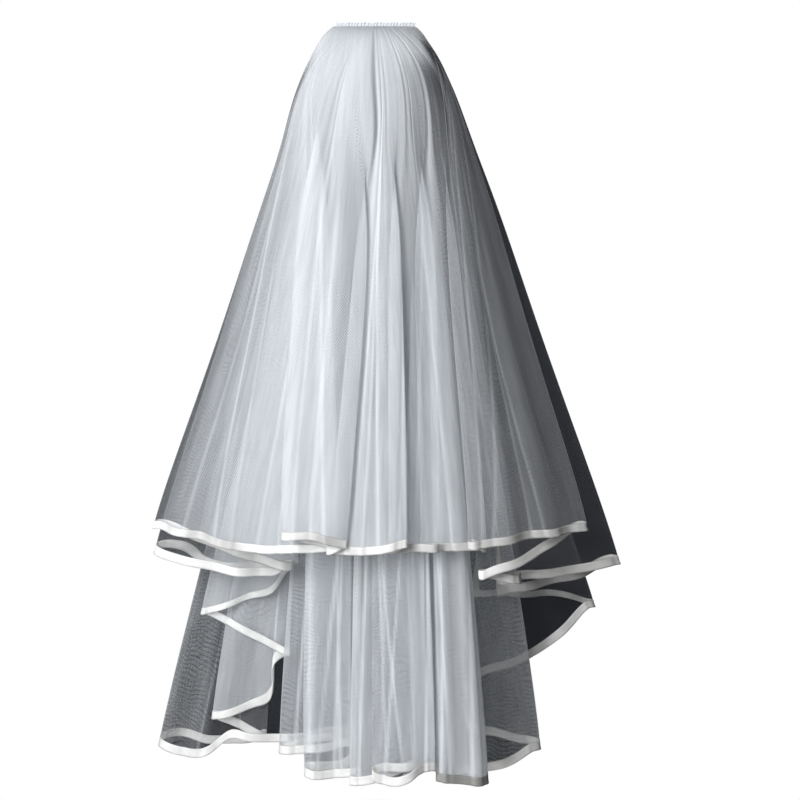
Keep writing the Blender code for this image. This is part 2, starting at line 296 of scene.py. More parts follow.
@dataclass(frozen=True)
class TulleFinish(Finish):
    """Fine nylon net: see-through, denser where it is gathered or seen edge on."""

    waviness: float
    thread: Colour = (0.850, 0.878, 0.912)
    shaded: Colour = (0.70, 0.715, 0.735)
    shaded_streaks: Span = (0.36, 0.60)
    most_shaded: float = 0.55
    cell: float = 0.0021
    weft_stretch: float = 0.62
    thread_edge: float = 0.62
    sway: Speckle = Speckle((34.0, 22.0, 1.0), 3.0)
    sway_width: float = 0.011
    grain: Speckle = Speckle((820.0, 640.0, 1.0), 1.0)
    grain_cover: Span = (0.56, 1.44)
    patches: Speckle = Speckle((22.0, 1.7, 1.0))
    even_share: float = 0.62
    patch_share: float = 0.34
    streak_share: float = 0.50
    open_cover: float = 0.185
    thread_cover: float = 0.315
    few_plies: Span = (0.8, 1.6)
    least_facing: float = 0.10
    most_cover: float = 0.94
    through: float = 0.29
    wide_wave: Speckle = Speckle((15.0, 8.0, 1.0))
    small_wave: Speckle = Speckle((44.0, 20.0, 1.0))
    level_lines: WavyLines = WavyLines(0.0047, 0.070, 0.010, 0.85, (0.18, 0.72))
    upright_lines: WavyLines = WavyLines(0.0036, 0.020, 0.012, 0.80, (0.12, 0.28))
    broken_lines: Span = (0.34, 0.60)
    least_unbroken: float = 0.35
    fan_top: float = 0.055
    fan_spread: float = 0.33
    fan_stretch: float = 0.35
    coarse_streaks: float = 11.0
    coarse_share: float = 0.42
    fine_streaks: float = 58.0

    def cover(self, graph: Graph) -> Tone:
        """How much of the net is thread, from 0 to 1."""
        cloth = graph.cloth()
        along, down, _ = graph.split(cloth)
        sway = graph.speckle(cloth, self.sway) * self.sway_width
        first = (along + down * self.weft_stretch + sway).ridges(self.cell)
        second = (along - down * self.weft_stretch + sway).ridges(self.cell)
        mesh = 1 - (first * second).step(0.0, self.thread_edge)
        # The plies also carry painted light and shade: fewer where the net stands in shade, so
        # more of the dark backdrop shows, and more where it is lit.
        plies = graph.attribute("plies")
        few = 1 - plies.step(*self.few_plies)
        patches = graph.speckle(cloth, self.patches) * self.patch_share
        streaks = self.streaks(graph) * self.streak_share
        plain = mesh.span(self.open_cover, self.thread_cover)
        plain = plain * graph.speckle(cloth, self.grain).span(*self.grain_cover)
        plain = plain * (self.even_share + patches + streaks) * self.waves(graph, cloth, few)
        weight = graph.add("ShaderNodeLayerWeight", {"Blend": 0.5})
        slant = (1 - Tone(graph, weight.outputs["Facing"])).at_least(self.least_facing)
        return (1 - (1 - plain) ** (plies / slant)).at_most(self.most_cover)

    def waves(self, graph: Graph, cloth: bpy.types.NodeSocket, few: Tone) -> Tone:
        """The wavy lines that show where one net lies over another.

        Args:
            graph: the material's graph.
            cloth: the cloth's own map.
            few: 1 where few plies lie on each other, where the lines show most.

        Returns:
            A factor on the cover, up to 1.
        """
        along, down, _ = graph.split(cloth)
        wide = graph.speckle(cloth, self.wide_wave)
        small = graph.speckle(cloth, self.small_wave)
        level = self.level_lines.show(down, wide, small, few)
        upright = self.upright_lines.show(along, wide, small, few)
        unbroken = small.step(*self.broken_lines).span(self.least_unbroken, 1.0)
        return 1 - (level + upright) * unbroken * self.waviness

    def streaks(self, graph: Graph) -> Tone:
        """Fine uneven lines that fan out from the comb, where the net bunches a little."""
        side, _, height = graph.split(graph.place())
        fan = side / (self.fan_top - height * self.fan_spread)
        inputs = {0: fan, 1: height * self.fan_stretch}
        spot = graph.add("ShaderNodeCombineXYZ", inputs).outputs[0]
        coarse = graph.noise(spot, self.coarse_streaks, 3.0)
        fine = graph.noise(spot, self.fine_streaks)
        return coarse * self.coarse_share + fine * (1 - self.coarse_share)

    def surface(self, graph: Graph) -> bpy.types.NodeSocket:
        """Threads that let some light through, with clear holes between them."""
        # Painted shade: along the fan streaks the thread colour turns towards the shaded grey, for
        # the shade between the net's fine bunches.
        shade = (1 - self.streaks(graph).step(*self.shaded_streaks)) * self.most_shaded
        threads = {
            "Base Color": graph.mix_colour(shade, self.thread, self.shaded),
            "Roughness": 0.62,
            "Sheen Weight": 0.35,
            "Sheen Roughness": 0.45,
            "Specular IOR Level": 0.35,
        }
        front = graph.shader("ShaderNodeBsdfPrincipled", threads)
        back = graph.shader("ShaderNodeBsdfTranslucent", {"Color": self.thread})
        body = graph.shader("ShaderNodeMixShader", {0: self.through, 1: front, 2: back})
        clear = graph.shader("ShaderNodeBsdfTransparent", {})
        return graph.shader("ShaderNodeMixShader", {0: self.cover(graph), 1: clear, 2: body})


@dataclass(frozen=True)
class SatinFinish(Finish):
    """Woven satin ribbon: smooth and lustrous, with a stitch line near its inner edge."""

    bright: Colour = (0.90, 0.895, 0.88)
    dull: Colour = (0.50, 0.495, 0.485)
    # Painted shade colour, which the ribbon takes where it turns from the light or lies in shade.
    painted_shade: Colour = (0.20, 0.198, 0.19)
    thread_pitch: float = 0.00035
    cloudy: Speckle = Speckle((70.0, 1.2, 1.0), 3.0)
    cloud_edge: Span = (0.34, 0.66)
    cloud_shade: float = 0.22
    cloud_height: float = 0.9
    fine: Speckle = Speckle((900.0, 4.0, 1.0), 1.0)
    fine_height: float = 0.25
    weave_height: float = 0.10
    stitch_pitch: float = 0.0026
    stitch_line: float = 0.13
    stitch_width: Span = (0.02, 0.055)
    stitch_gap: Span = (0.25, 0.7)
    stitch_shade: float = 0.15
    stitch_depth: float = 0.5
    edge_band: float = 0.10
    edge_darkening: float = 0.75
    roughness: Span = (0.30, 0.46)
    bump: Span = (0.35, 0.0004)

    def surface(self, graph: Graph) -> bpy.types.NodeSocket:
        """Satin on a map that runs along the ribbon and, from 0 to 1, across it."""
        strip = graph.cloth()
        along, across, _ = graph.split(strip)
        cloudy = graph.speckle(strip, self.cloudy)
        from_line = graph.math("ABSOLUTE", across - self.stitch_line)
        stitch = along.ridges(self.stitch_pitch).step(*self.stitch_gap)
        stitch = stitch * (1 - from_line.step(*self.stitch_width))
        # The colour is darker, towards the dull grey, in a narrow band along both edges of the
        # ribbon.
        from_rim = 0.5 - graph.math("ABSOLUTE", across - 0.5)
        rim = 1 - from_rim.step(0.0, self.edge_band)
        shade = cloudy.step(*self.cloud_edge) * self.cloud_shade + stitch * self.stitch_shade
        shade = (shade + rim * self.edge_darkening).at_most(1.0)
        lit = graph.mix_colour(shade, self.bright, self.dull)
        weave = along.ridges(self.thread_pitch) * self.weave_height
        height = weave + graph.speckle(strip, self.fine) * self.fine_height
        height = height - stitch * self.stitch_depth + cloudy * self.cloud_height
        satin = {
            # Painted light and shade: the attribute listed along the hem darkens the satin towards
            # the dark grey where the ribbon turns from the light or lies in shade.
            "Base Color": graph.mix_colour(1 - graph.attribute("painted_light"), lit, self.painted_shade),
            "Roughness": cloudy.span(*self.roughness),
            "Normal": graph.bump(height, *self.bump),
            "Sheen Weight": 0.1,
            "Sheen Roughness": 0.35,
            "Specular IOR Level": 0.6,
            "Anisotropic": 0.5,
        }
        return graph.shader("ShaderNodeBsdfPrincipled", satin)


@dataclass(frozen=True)
class CombFinish(Finish):
    """Clear-white moulded plastic with faint flow marks."""

    plastic: Colour = (0.78, 0.80, 0.80)
    cloudy: Colour = (0.66, 0.69, 0.70)
    flow: Speckle = Speckle((60.0, 60.0, 14.0), 3.0)
    flow_edge: Span = (0.35, 0.7)
    grain: float = 2400.0
    roughness: Span = (0.16, 0.32)
    bump: Span = (0.2, 0.0002)

    def surface(self, graph: Graph) -> bpy.types.NodeSocket:
        """Smooth plastic, cloudier along its flow marks."""
        place = graph.place()
        flow = graph.speckle(place, self.flow)
        plastic = {
            "Base Color": graph.mix_colour(flow.step(*self.flow_edge), self.plastic, self.cloudy),
            "Roughness": flow.span(*self.roughness),
            "Normal": graph.bump(graph.noise(place, self.grain, 1.0) + flow, *self.bump),
            "IOR": 1.49,
        }
        return graph.shader("ShaderNodeBsdfPrincipled", plastic)


@dataclass(frozen=True)
class ThreadFinish(Finish):
    """White sewing thread with its twist."""

    cotton: Colour = (0.86, 0.86, 0.85)
    shade: Colour = (0.62, 0.63, 0.64)
    twist: float = 5200.0
    twist_shade: float = 0.6
    fuzz: float = 3000.0
    fuzz_height: float = 0.5
    roughness: Span = (0.6, 0.8)
    bump: Span = (0.5, 0.0001)

    def surface(self, graph: Graph) -> bpy.types.NodeSocket:
        """Matt thread with slanting turns."""
        place = graph.place()
        side, _, height = graph.split(place)
        twist = graph.math("SINE", (side + height) * self.twist) * 0.5 + 0.5
        fuzz = graph.noise(place, self.fuzz, 1.0)
        thread = {
            # Painted shade: the white colour darkens towards the grey shade colour between the
            # thread's twists.
            "Base Color": graph.mix_colour(twist * self.twist_shade, self.cotton, self.shade),
            "Roughness": fuzz.span(*self.roughness),
            "Normal": graph.bump(twist + fuzz * self.fuzz_height, *self.bump),
            "Sheen Weight": 0.3,
        }
        return graph.shader("ShaderNodeBsdfPrincipled", thread)


@dataclass(frozen=True)
class FloorFinish(Finish):
    """Pale matt paint with faint mottling."""

    dark: Colour = (0.80, 0.80, 0.79)
    pale: Colour = (0.86, 0.86, 0.85)
    mottling: float = 3.0

    def surface(self, graph: Graph) -> bpy.types.NodeSocket:
        """Paint that is a little uneven."""
        mottle = graph.noise(graph.place(), self.mottling)
        colour = graph.mix_colour(mottle, self.dark, self.pale)
        paint = {"Base Color": colour, "Roughness": 0.7}
        return graph.shader("ShaderNodeBsdfPrincipled", paint)


# ----------------------------------------------------------------------- cloth geometry


class Hold(Enum):
    """How a sheet of cloth is held."""

    GATHERED = "gathered"


class Slot(Enum):
    """The kinds of surface that a piece may stand for."""

    TULLE = "tulle"
    RIBBON = "ribbon"


@dataclass(frozen=True)
class Fold:
    """One turn of a hem: its place, its shoulder's place and its depth, in millimetres.

    Where the cloth doubles back, it comes in at the depth and goes on at depth_out.
    """

    name: str
    x: float
    z: float
    shoulder_x: float
    depth: float
    depth_out: float | None = None


@dataclass(frozen=True)
class Crease:
    """A soft ridge (or, with a negative depth, a trough) that runs down the cloth.

    at is its place along the hem, reach its half width there and lean how far it leans
    along the cloth, all in millimetres, as its depth is. It fades in at the share top of
    the drop and out at the share foot.
    """

    at: float
    reach: float
    depth: float
    top: float
    lean: float = 0.0
    foot: float = 1.10


@dataclass(frozen=True)
class Gather:
    """A family of uneven small gathers: pitch along the hem, depth and where it is strongest."""

    pitch: float
    depth: float
    rise: float
    fade: float
    phase: float
    wander: float


@dataclass(frozen=True)
class Wobble:
    """An uneven swing about a middle value: waves of size, turning per metre and phase."""

    middle: float
    waves: Rows

    def at(self, places: np.ndarray) -> np.ndarray:
        """Its values at places along the cloth, in metres."""
        values = np.full(len(places), self.middle)
        for size, rate, phase in self.waves:
            values += size * np.sin(rate * places + phase)
        return values


UPPER_FOLDS = (
    Fold("left_edge", -90.4, -555.8, -58, -18),
    Fold("tucked", -147.7, -562.6, -61, -17),
    Fold("tucked_end", -180.5, -558.5, -62, -16),
    Fold("tucked_rise", -192, -547.2, -62, -15.5),
    Fold("tucked_top", -202.5, -540.6, -63, -15),
    Fold("left_back_in", -224.8, -539.7, -63, -14),
    Fold("left_back", -232, -542.4, -64, -21),
    Fold("left_back_out", -223.4, -547.3, -62, -28),
    Fold("back_run", -187.8, -553.8, -60, -38),
    Fold("back_run_low", -145.7, -561.9, -55, -42),
    Fold("back_run_end", -107.8, -561.3, -49, -46),
    Fold("left_inner", -84.3, -552.1, -44, -50, -62),
    Fold("middle_run", -140.2, -539.3, -58, -56),
    Fold("left_front", -230, -510.9, -60, -41, -54),
    Fold("front_run", -176.9, -517.9, -62, -78),
    Fold("front_run_mid", -136.7, -525.8, -59, -87),
    Fold("front_run_end", -95.2, -525.9, -56, -98),
    Fold("first_tuck", -30.7, -519.8, -50, -113, -117),
    Fold("first_panel", -92.5, -504.5, -66, -121, -132),
    Fold("first_bow", -57, -505.2, -30, -134),
    Fold("second_tuck", -27.8, -513.1, 10, -130, -127),
    Fold("second_panel", -47.5, -520.4, 0, -126, -121),
    Fold("second_bow", -8.3, -521.4, 10, -126),
    Fold("third_tuck", 32.8, -513.6, 24, -126, -122),
    Fold("third_panel", 13.7, -521.3, 14, -120, -115),
    Fold("fourth_tuck", 64.1, -520.6, 58, -116, -112),
    Fold("fourth_panel", 46, -522.7, 34, -110, -104),
    Fold("fifth_tuck", 112.9, -522, 64, -103, -108),
    Fold("right_panel", 94.3, -517.1, 56, -110, -121),
    Fold("right_run", 145.1, -511.1, 68, -108),
    Fold("right_front", 217.3, -506.2, 72, -86, -72),
    Fold("right_back_run", 175.2, -524.8, 66, -84),
    Fold("right_back_mid", 148.6, -541.2, 65, -86),
    Fold("right_inner_run", 127.3, -548.1, 63, -89),
    Fold("right_inner", 106.5, -555.1, 62, -89, -82),
    Fold("small_turn", 151, -563, 62, -72, -60),
    Fold("small_return", 126.5, -566.5, 60, -64, -52),
    Fold("far_run", 203.4, -559.6, 62, -48),
    Fold("right_back", 255.6, -552.3, 64, -40, -26),
    Fold("last_run", 215.3, -566.8, 62, -28),
    Fold("last_run_mid", 173.3, -577.7, 60, -28),
    Fold("right_edge", 136.4, -585.6, 58, -29),
)

LOWER_FOLDS = (
    Fold("left_edge", -98.8, -578.2, -62, 16),
    Fold("edge_run", -111.9, -595.3, -61, 16),
    Fold("edge_run_low", -141.1, -606.1, -61, 17),
    Fold("first_cascade", -188.6, -621.3, -60, 18, 24),
    Fold("first_return", -93.8, -668.7, -56, 26, 30),
    Fold("fall_top", -108.7, -675.2, -56, 31),
    Fold("straight_fall", -113.5, -688.4, -56, 32),
    Fold("fall_low", -112.4, -709, -56, 33),
    Fold("fall_foot", -119.7, -721.8, -56, 34),
    Fold("second_cascade", -180.1, -742.9, -58, 35, 41),
    Fold("second_return", -121.2, -768.4, -56, 43, 50),
    Fold("back_run_far", -140.1, -774.3, -52, 52),
    Fold("back_run", -184.4, -775.4, -48, 52),
    Fold("back_run_left", -209.2, -767.5, -47, 47),
    Fold("left_side_in", -230, -763.3, -47, 36),
    Fold("left_side", -235.9, -763.5, -46, 22),
    Fold("left_side_out", -231, -766.1, -47, 10),
    Fold("side_run", -215.6, -771.8, -48, 0),
    Fold("side_run_low", -196.2, -773.4, -47, -3),
    Fold("side_run_turn", -180.3, -768.2, -47, -4),
    Fold("side_run_rise", -155.5, -751.3, -46, -6),
    Fold("side_run_flat", -135.4, -753.8, -46, -7),
    Fold("side_run_end", -98, -754.6, -46, -8),
    Fold("first_tuck", -25.6, -744.1, -26, -10, -22),
    Fold("first_panel", -102.9, -759.7, -45, -20, -32),
    Fold("first_bow", -72.1, -758.4, -40, -35),
    Fold("second_tuck", -26.2, -749.9, -22, -37, -41),
    Fold("second_tuck_fall", -24.5, -762.6, -30, -44),
    Fold("second_back_run", -34.5, -771.4, -39, -48),
    Fold("second_panel_in", -70.5, -771.3, -48, -49),
    Fold("second_panel", -74.8, -773.7, -56, -54),
    Fold("second_panel_out", -70.1, -776, -41, -60),
    Fold("second_front_run", -47.9, -777.6, -25, -62),
    Fold("third_tuck", -15.2, -773.5, -10, -62, -68),
    Fold("third_panel", -26.5, -778.5, -8, -70, -80),
    Fold("third_run", -9.7, -776.3, 0, -82),
    Fold("fourth_tuck", 54.9, -755.1, 8, -84, -90),
    Fold("fourth_back_run", 25.8, -758.9, 6, -91),
    Fold("fourth_panel_in", 1.9, -760.7, 4, -92),
    Fold("fourth_panel", -3.2, -763.8, 2, -96),
    Fold("fourth_panel_out", 2, -768.9, 8, -100),
    Fold("front_bow", 18.9, -770.3, 14, -103),
    Fold("front_bow_rise", 33, -765.7, 21, -103),
    Fold("front_run_end", 43.4, -759.4, 29, -101),
    Fold("fifth_tuck", 62.6, -757.3, 36, -97, -85),
    Fold("fifth_panel", 39.4, -765, 30, -81, -70),
    Fold("sixth_tuck", 83.5, -769.7, 46, -62, -74),
    Fold("sixth_panel", 63.3, -771.4, 48, -76, -88),
    Fold("right_side", 116.7, -776.8, 50, -84, -46),
    Fold("side_return", 70.6, -780.7, 48, -40, -26),
    Fold("far_run", 118.9, -784, 54, -18),
    Fold("far_run_rise", 147.7, -777.1, 58, -12),
    Fold("right_back", 177.1, -767.1, 62, -6, 22),
    Fold("lower_return_run", 155.5, -764.6, 60, 25),
    Fold("lower_return_mid", 132.1, -760.4, 62, 26),
    Fold("arc_foot", 114.7, -756.5, 63, 28),
    Fold("arc_low", 103.2, -750.3, 65, 32),
    Fold("rounded_low", 95.9, -736.3, 66, 36),
    Fold("rounded_return", 93.9, -722.5, 68, 40),
    Fold("rounded_high", 99, -710.4, 67, 45),
    Fold("arc_high", 111.7, -700.4, 66, 50),
    Fold("rising_start", 138.9, -691.8, 65, 54),
    Fold("rising_run", 174.1, -676.6, 64, 57),
    Fold("rising_mid", 206.2, -650.8, 63, 59),
    Fold("far_right", 239.7, -625.4, 62, 60, 76),
    Fold("last_run", 210.4, -617.6, 66, 79),
    Fold("last_run_mid", 173.1, -617.2, 68, 80),
    Fold("right_edge", 114.5, -617.1, 69, 82),
)

UPPER_CREASES = (
    Crease(816, 30, -6, -0.3, 0, 0.24), Crease(60, 11, 1.2, 0.1, 0, 0.98),
    Crease(101, 8, -0.9, 0.22), Crease(172, 10, 1.3, 0.06, 0, 0.92), Crease(212, 12, -1.2, 0.18),
    Crease(250, 9, 1, 0.1, 0, 0.8), Crease(276, 11, -1.3, 0.3),
    Crease(325, 10, 1.2, 0.05, 0, 0.88), Crease(346, 8, -0.9, 0.34), Crease(400, 13, 1.4, 0.12),
    Crease(477, 9, 1.7, 0.08, 0, 0.96), Crease(497, 7, -1.3, 0.26), Crease(514, 8, 1.9, 0.04),
    Crease(561, 10, -1.4, 0.4), Crease(606, 8, 1.9, 0.06, 0, 0.9),
    Crease(625, 6, -1.1, 0.16, 0, 0.7), Crease(641, 9, 1.6, 0.3),
    Crease(751, 7, 1.2, 0.05, 0, 0.84), Crease(782, 9, -1.3, 0.2),
    Crease(845, 10, 1.6, 0.08, 0, 0.92), Crease(878, 8, -1.2, 0.36),
    Crease(951, 9, 1.4, 0.03, 0, 0.74), Crease(970, 6, -1, 0.24), Crease(1026, 10, 1.7, 0.1),
    Crease(1050, 7, -1.2, 0.05, 0, 0.66), Crease(1118, 9, 1.6, 0.07, 0, 0.95),
    Crease(1143, 11, -1.7, 0.18), Crease(1173, 7, 1.3, 0.32, 0, 0.9), Crease(1203, 9, 1.5, 0.12),
    Crease(1258, 10, -1.3, 0.2), Crease(1310, 12, 1.4, 0.08, 0, 0.9), Crease(1381, 8, 1, 0.3),
    Crease(1471, 11, -1.2, 0.14), Crease(1538, 12, 1.3, 0.24), Crease(1629, 10, 0.9, 0.1, 0, 0.86),
    Crease(530, 3, 1.1, 0.3, -30), Crease(575, 2.6, 1, 0.12, 50), Crease(612, 2.8, -1, 0.4, 20),
    Crease(747, 2.6, 0.9, 0.08, 20), Crease(780, 2.8, -1, 0.3, -30), Crease(843, 2.6, 1, 0.1, 30),
    Crease(877, 2.8, 1, 0.25, -20), Crease(955, 2.6, 0.9, 0.1, 20, 0.9),
    Crease(1036, 2.6, 1.1, 0.2, -30), Crease(1123, 3, 1, 0.1, 60), Crease(1178, 2.8, 1, 0.3, -40),
    Crease(495, 2.8, 0.9, 0.25, 20), Crease(548, 2.6, -0.9, 0.45, -10),
    Crease(598, 2.8, 0.9, 0.2, 30), Crease(636, 2.6, 0.9, 0.1, -20, 0.85),
    Crease(765, 2.6, 0.9, 0.35, 15), Crease(861, 2.6, -0.9, 0.15, 10),
    Crease(897, 2.6, 0.9, 0.4, 20), Crease(1111, 2.6, 0.9, 0.15, 30),
    Crease(1166, 2.6, 0.9, 0.25, -20),
)

LOWER_CREASES = (
    Crease(46, 10, 1.2, 0.08, 0, 0.95), Crease(115, 11, -1.1, 0.3), Crease(151, 9, 1, 0.12),
    Crease(242, 12, 1.3, 0.2), Crease(310, 10, -1.2, 0.4), Crease(373, 13, 1.4, 0.1, 0, 0.94),
    Crease(437, 9, -1, 0.24), Crease(495, 12, 1.4, 0.16), Crease(538, 8, -1.1, 0.46),
    Crease(592, 10, 1.4, 0.08, 0, 0.9), Crease(647, 12, -1.5, 0.3), Crease(677, 8, 1.2, 0.14),
    Crease(725, 9, 1.3, 0.42), Crease(756, 7, -1, 0.6), Crease(798, 8, 1.4, 0.34, 0, 0.94),
    Crease(834, 10, -1.5, 0.2), Crease(849, 6, 1.1, 0.5), Crease(886, 9, 1.4, 0.12, 0, 0.9),
    Crease(905, 6, -0.9, 0.55), Crease(948, 9, 1.5, 0.28), Crease(970, 8, -1.2, 0.44, 0, 0.92),
    Crease(1040, 8, 1.4, 0.16), Crease(1162, 7, 1.2, 0.52), Crease(1198, 9, -1.4, 0.3),
    Crease(1271, 10, 1.6, 0.22, 0, 0.95), Crease(1289, 6, -1, 0.58), Crease(1354, 10, 1.6, 0.1),
    Crease(1378, 7, -1.2, 0.48), Crease(1430, 11, 1.4, 0.2, 0, 0.9), Crease(1487, 9, -1.1, 0.36),
    Crease(1545, 12, 1.4, 0.14), Crease(1596, 9, -1, 0.4), Crease(1716, 13, 1.4, 0.24),
    Crease(1790, 10, -1.2, 0.5), Crease(1846, 11, 1.2, 0.12, 0, 0.92), Crease(1911, 9, 0.9, 0.3),
    Crease(122, 2.8, 1, 0.6, 20), Crease(312, 2.8, 1, 0.5, -20), Crease(527, 2.8, 1, 0.4, 50),
    Crease(802, 2.6, 1, 0.5, 30), Crease(942, 2.6, 1, 0.4, 60), Crease(968, 2.6, -1, 0.55, -30),
    Crease(1016, 2.4, 1, 0.5, 20), Crease(1165, 2.6, 1.2, 0.45, 70),
    Crease(1188, 2.6, 1.1, 0.5, -90, 0.97), Crease(1347, 2.6, 1.1, 0.4, -30),
    Crease(1370, 2.6, 1, 0.5, 40), Crease(747, 2.6, 0.9, 0.55, 20),
    Crease(817, 2.6, 0.9, 0.6, -20), Crease(960, 2.6, 0.9, 0.5, 15),
    Crease(1047, 2.6, 1, 0.55, -25), Crease(1074, 2.6, 1, 0.55, 20),
    Crease(1142, 2.6, 1, 0.5, -30), Crease(1210, 2.6, 1, 0.55, 30), Crease(1264, 2.6, 1, 0.5, 15),
    Crease(1337, 2.6, 1, 0.55, 20), Crease(1384, 2.6, 1, 0.55, 10),
)

# How many plies of net lie on each other, raised where painted light brightens the net and lowered
# where painted shade darkens it: millimetres along the hem, at the hem, at the crown.
UPPER_PLIES_AND_LIGHT: Rows = (
    (0, 0.7, 1.4), (120, 0.3, 0.35), (170, 0.3, 0.35), (300, 0.9, 1.0), (440, 0.45, 0.8),
    (470, 0.35, 1.0), (510, 1.2, 3.5), (600, 1.7, 6.0), (730, 2.3, 7.0), (777, 2.4, 7.0),
    (797, 2.2, 7.0), (827, 4.0, 7.0), (852, 4.2, 7.0), (868, 2.8, 7.0), (926, 2.4, 6.0),
    (965, 0.5, 3.0), (998, 0.5, 2.4), (1011, 1.2, 2.4), (1025, 3.4, 2.6), (1037, 2.2, 1.4),
    (1054, 0.85, 0.6), (1068, 0.7, 0.4), (1090, 0.65, 0.25), (1108, 0.75, 0.15), (1146, 0.85, 0.1),
    (1183, 0.42, 0.08), (1225, 0.24, 0.06), (1273, 0.18, 0.06), (1345, 0.1, 0.06),
    (1687, 0.05, 0.05),
)

LOWER_PLIES_AND_LIGHT: Rows = (
    (0, 2.6, 0.5), (83, 2.2, 0.5), (102, 0.9, 0.5), (183, 0.9, 0.5), (202, 2.4, 0.5),
    (276, 2.4, 0.5), (296, 0.5, 1.0), (333, 0.4, 1.0), (358, 0.14, 0.9), (408, 0.16, 0.9),
    (429, 0.5, 0.3), (473, 0.65, 0.3), (522, 0.55, 0.7), (542, 0.14, 0.6), (572, 0.1, 0.6),
    (592, 0.08, 0.6), (642, 0.1, 0.8), (682, 0.3, 1.4), (722, 0.9, 3.0), (802, 1.2, 4.0),
    (952, 1.15, 4.0), (987, 1.5, 4.0), (1006, 2.8, 4.0), (1042, 2.3, 4.0), (1082, 1.3, 4.0),
    (1122, 0.65, 4.0), (1167, 0.75, 4.0), (1187, 0.75, 3.0), (1202, 2.0, 2.6), (1242, 5.0, 1.6),
    (1287, 4.0, 0.6), (1321, 2.0, 0.4), (1342, 2.5, 0.3), (1372, 3.2, 0.16), (1391, 2.6, 0.16),
    (1422, 1.1, 0.12), (1506, 1.0, 0.08), (1573, 0.85, 0.08), (1642, 0.6, 0.07),
    (1702, 0.25, 0.06), (1752, 0.1, 0.05), (1952, 0.1, 0.05),
)

# Painted light and shade on the ribbon's colour, 1 for its own colour and 0 for the dark painted
# shade colour: millimetres along the hem, a share from 0 to 1.
UPPER_PAINTED_LIGHT: Rows = (
    (0, 0.6), (90, 0.7), (112, 0.35), (135, 0.35), (145, 0.95), (194, 0.9), (236, 0.9), (274, 0.6),
    (301, 0.55), (360, 0.6), (455, 1.0), (517, 0.6), (545, 0.55), (575, 0.95), (666, 1.0),
    (730, 1.0), (754, 0.95), (774, 0.35), (787, 0.45), (798, 1.0), (820, 0.9), (861, 0.8),
    (887, 1.0), (903, 0.9), (926, 0.6), (942, 0.5), (977, 0.45), (1006, 0.6), (1036, 0.5),
    (1068, 0.5), (1090, 0.8), (1108, 0.55), (1146, 0.3), (1225, 0.4), (1235, 0.3), (1273, 0.25),
    (1300, 0.4), (1321, 0.65), (1345, 1.0), (1373, 0.4), (1428, 0.4), (1508, 0.25), (1553, 0.6),
    (1573, 0.6), (1608, 0.25), (1687, 0.2),
)

LOWER_PAINTED_LIGHT: Rows = (
    (0, 0.8), (29, 0.85), (42, 0.9), (59, 1.0), (92, 1.0), (145, 0.95), (169, 0.75), (189, 0.9),
    (212, 0.9), (219, 0.6), (252, 1.0), (281, 1.0), (300, 0.8), (344, 0.5), (408, 0.6), (458, 0.5),
    (487, 0.95), (522, 0.75), (552, 1.0), (602, 0.7), (699, 0.6), (782, 0.9), (862, 0.7),
    (882, 0.5), (918, 0.7), (933, 1.0), (972, 0.8), (1006, 0.9), (1022, 0.8), (1102, 0.5),
    (1152, 0.9), (1192, 0.9), (1220, 0.7), (1295, 0.5), (1321, 0.15), (1391, 0.1), (1442, 0.4),
    (1506, 0.9), (1573, 1.0), (1592, 0.7), (1642, 0.7), (1669, 0.5), (1718, 0.4), (1753, 0.35),
    (1785, 1.0), (1823, 1.0), (1842, 0.4), (1882, 0.4), (1952, 0.35),
)

GATHERS = (
    Gather(pitch=0.0610, depth=0.0010, rise=0.160, fade=0.62, phase=0.4, wander=1.3),
    Gather(pitch=0.0370, depth=0.0007, rise=0.140, fade=0.46, phase=2.1, wander=1.7),
    Gather(pitch=0.0230, depth=0.0004, rise=0.120, fade=0.34, phase=4.0, wander=2.2),
)

# What is uneven in the gathers on the comb, in the heading and in the ribbon's stitching.
PUCKER_DRIFT = Wobble(0.0, ((0.9, 260.0, 0.0), (0.6, 610.0, 1.1)))
PUCKER_SIZE = Wobble(0.75, ((0.35, 930.0, 0.6),))
RUFFLE_DRIFT = Wobble(0.0, ((1.9, 190.0, 0.0), (1.3, 470.0, 0.5)))
RAGGED_EDGE = Wobble(0.88, ((0.07, 420.0, 0.0), (0.05, 1130.0, 0.8)))
STITCH_DRIFT = Wobble(0.0, ((1.6, 41.0, 0.0), (1.1, 97.0, 0.7)))
STITCH_PULL = Wobble(0.6, ((0.4, 63.0, 0.0),))


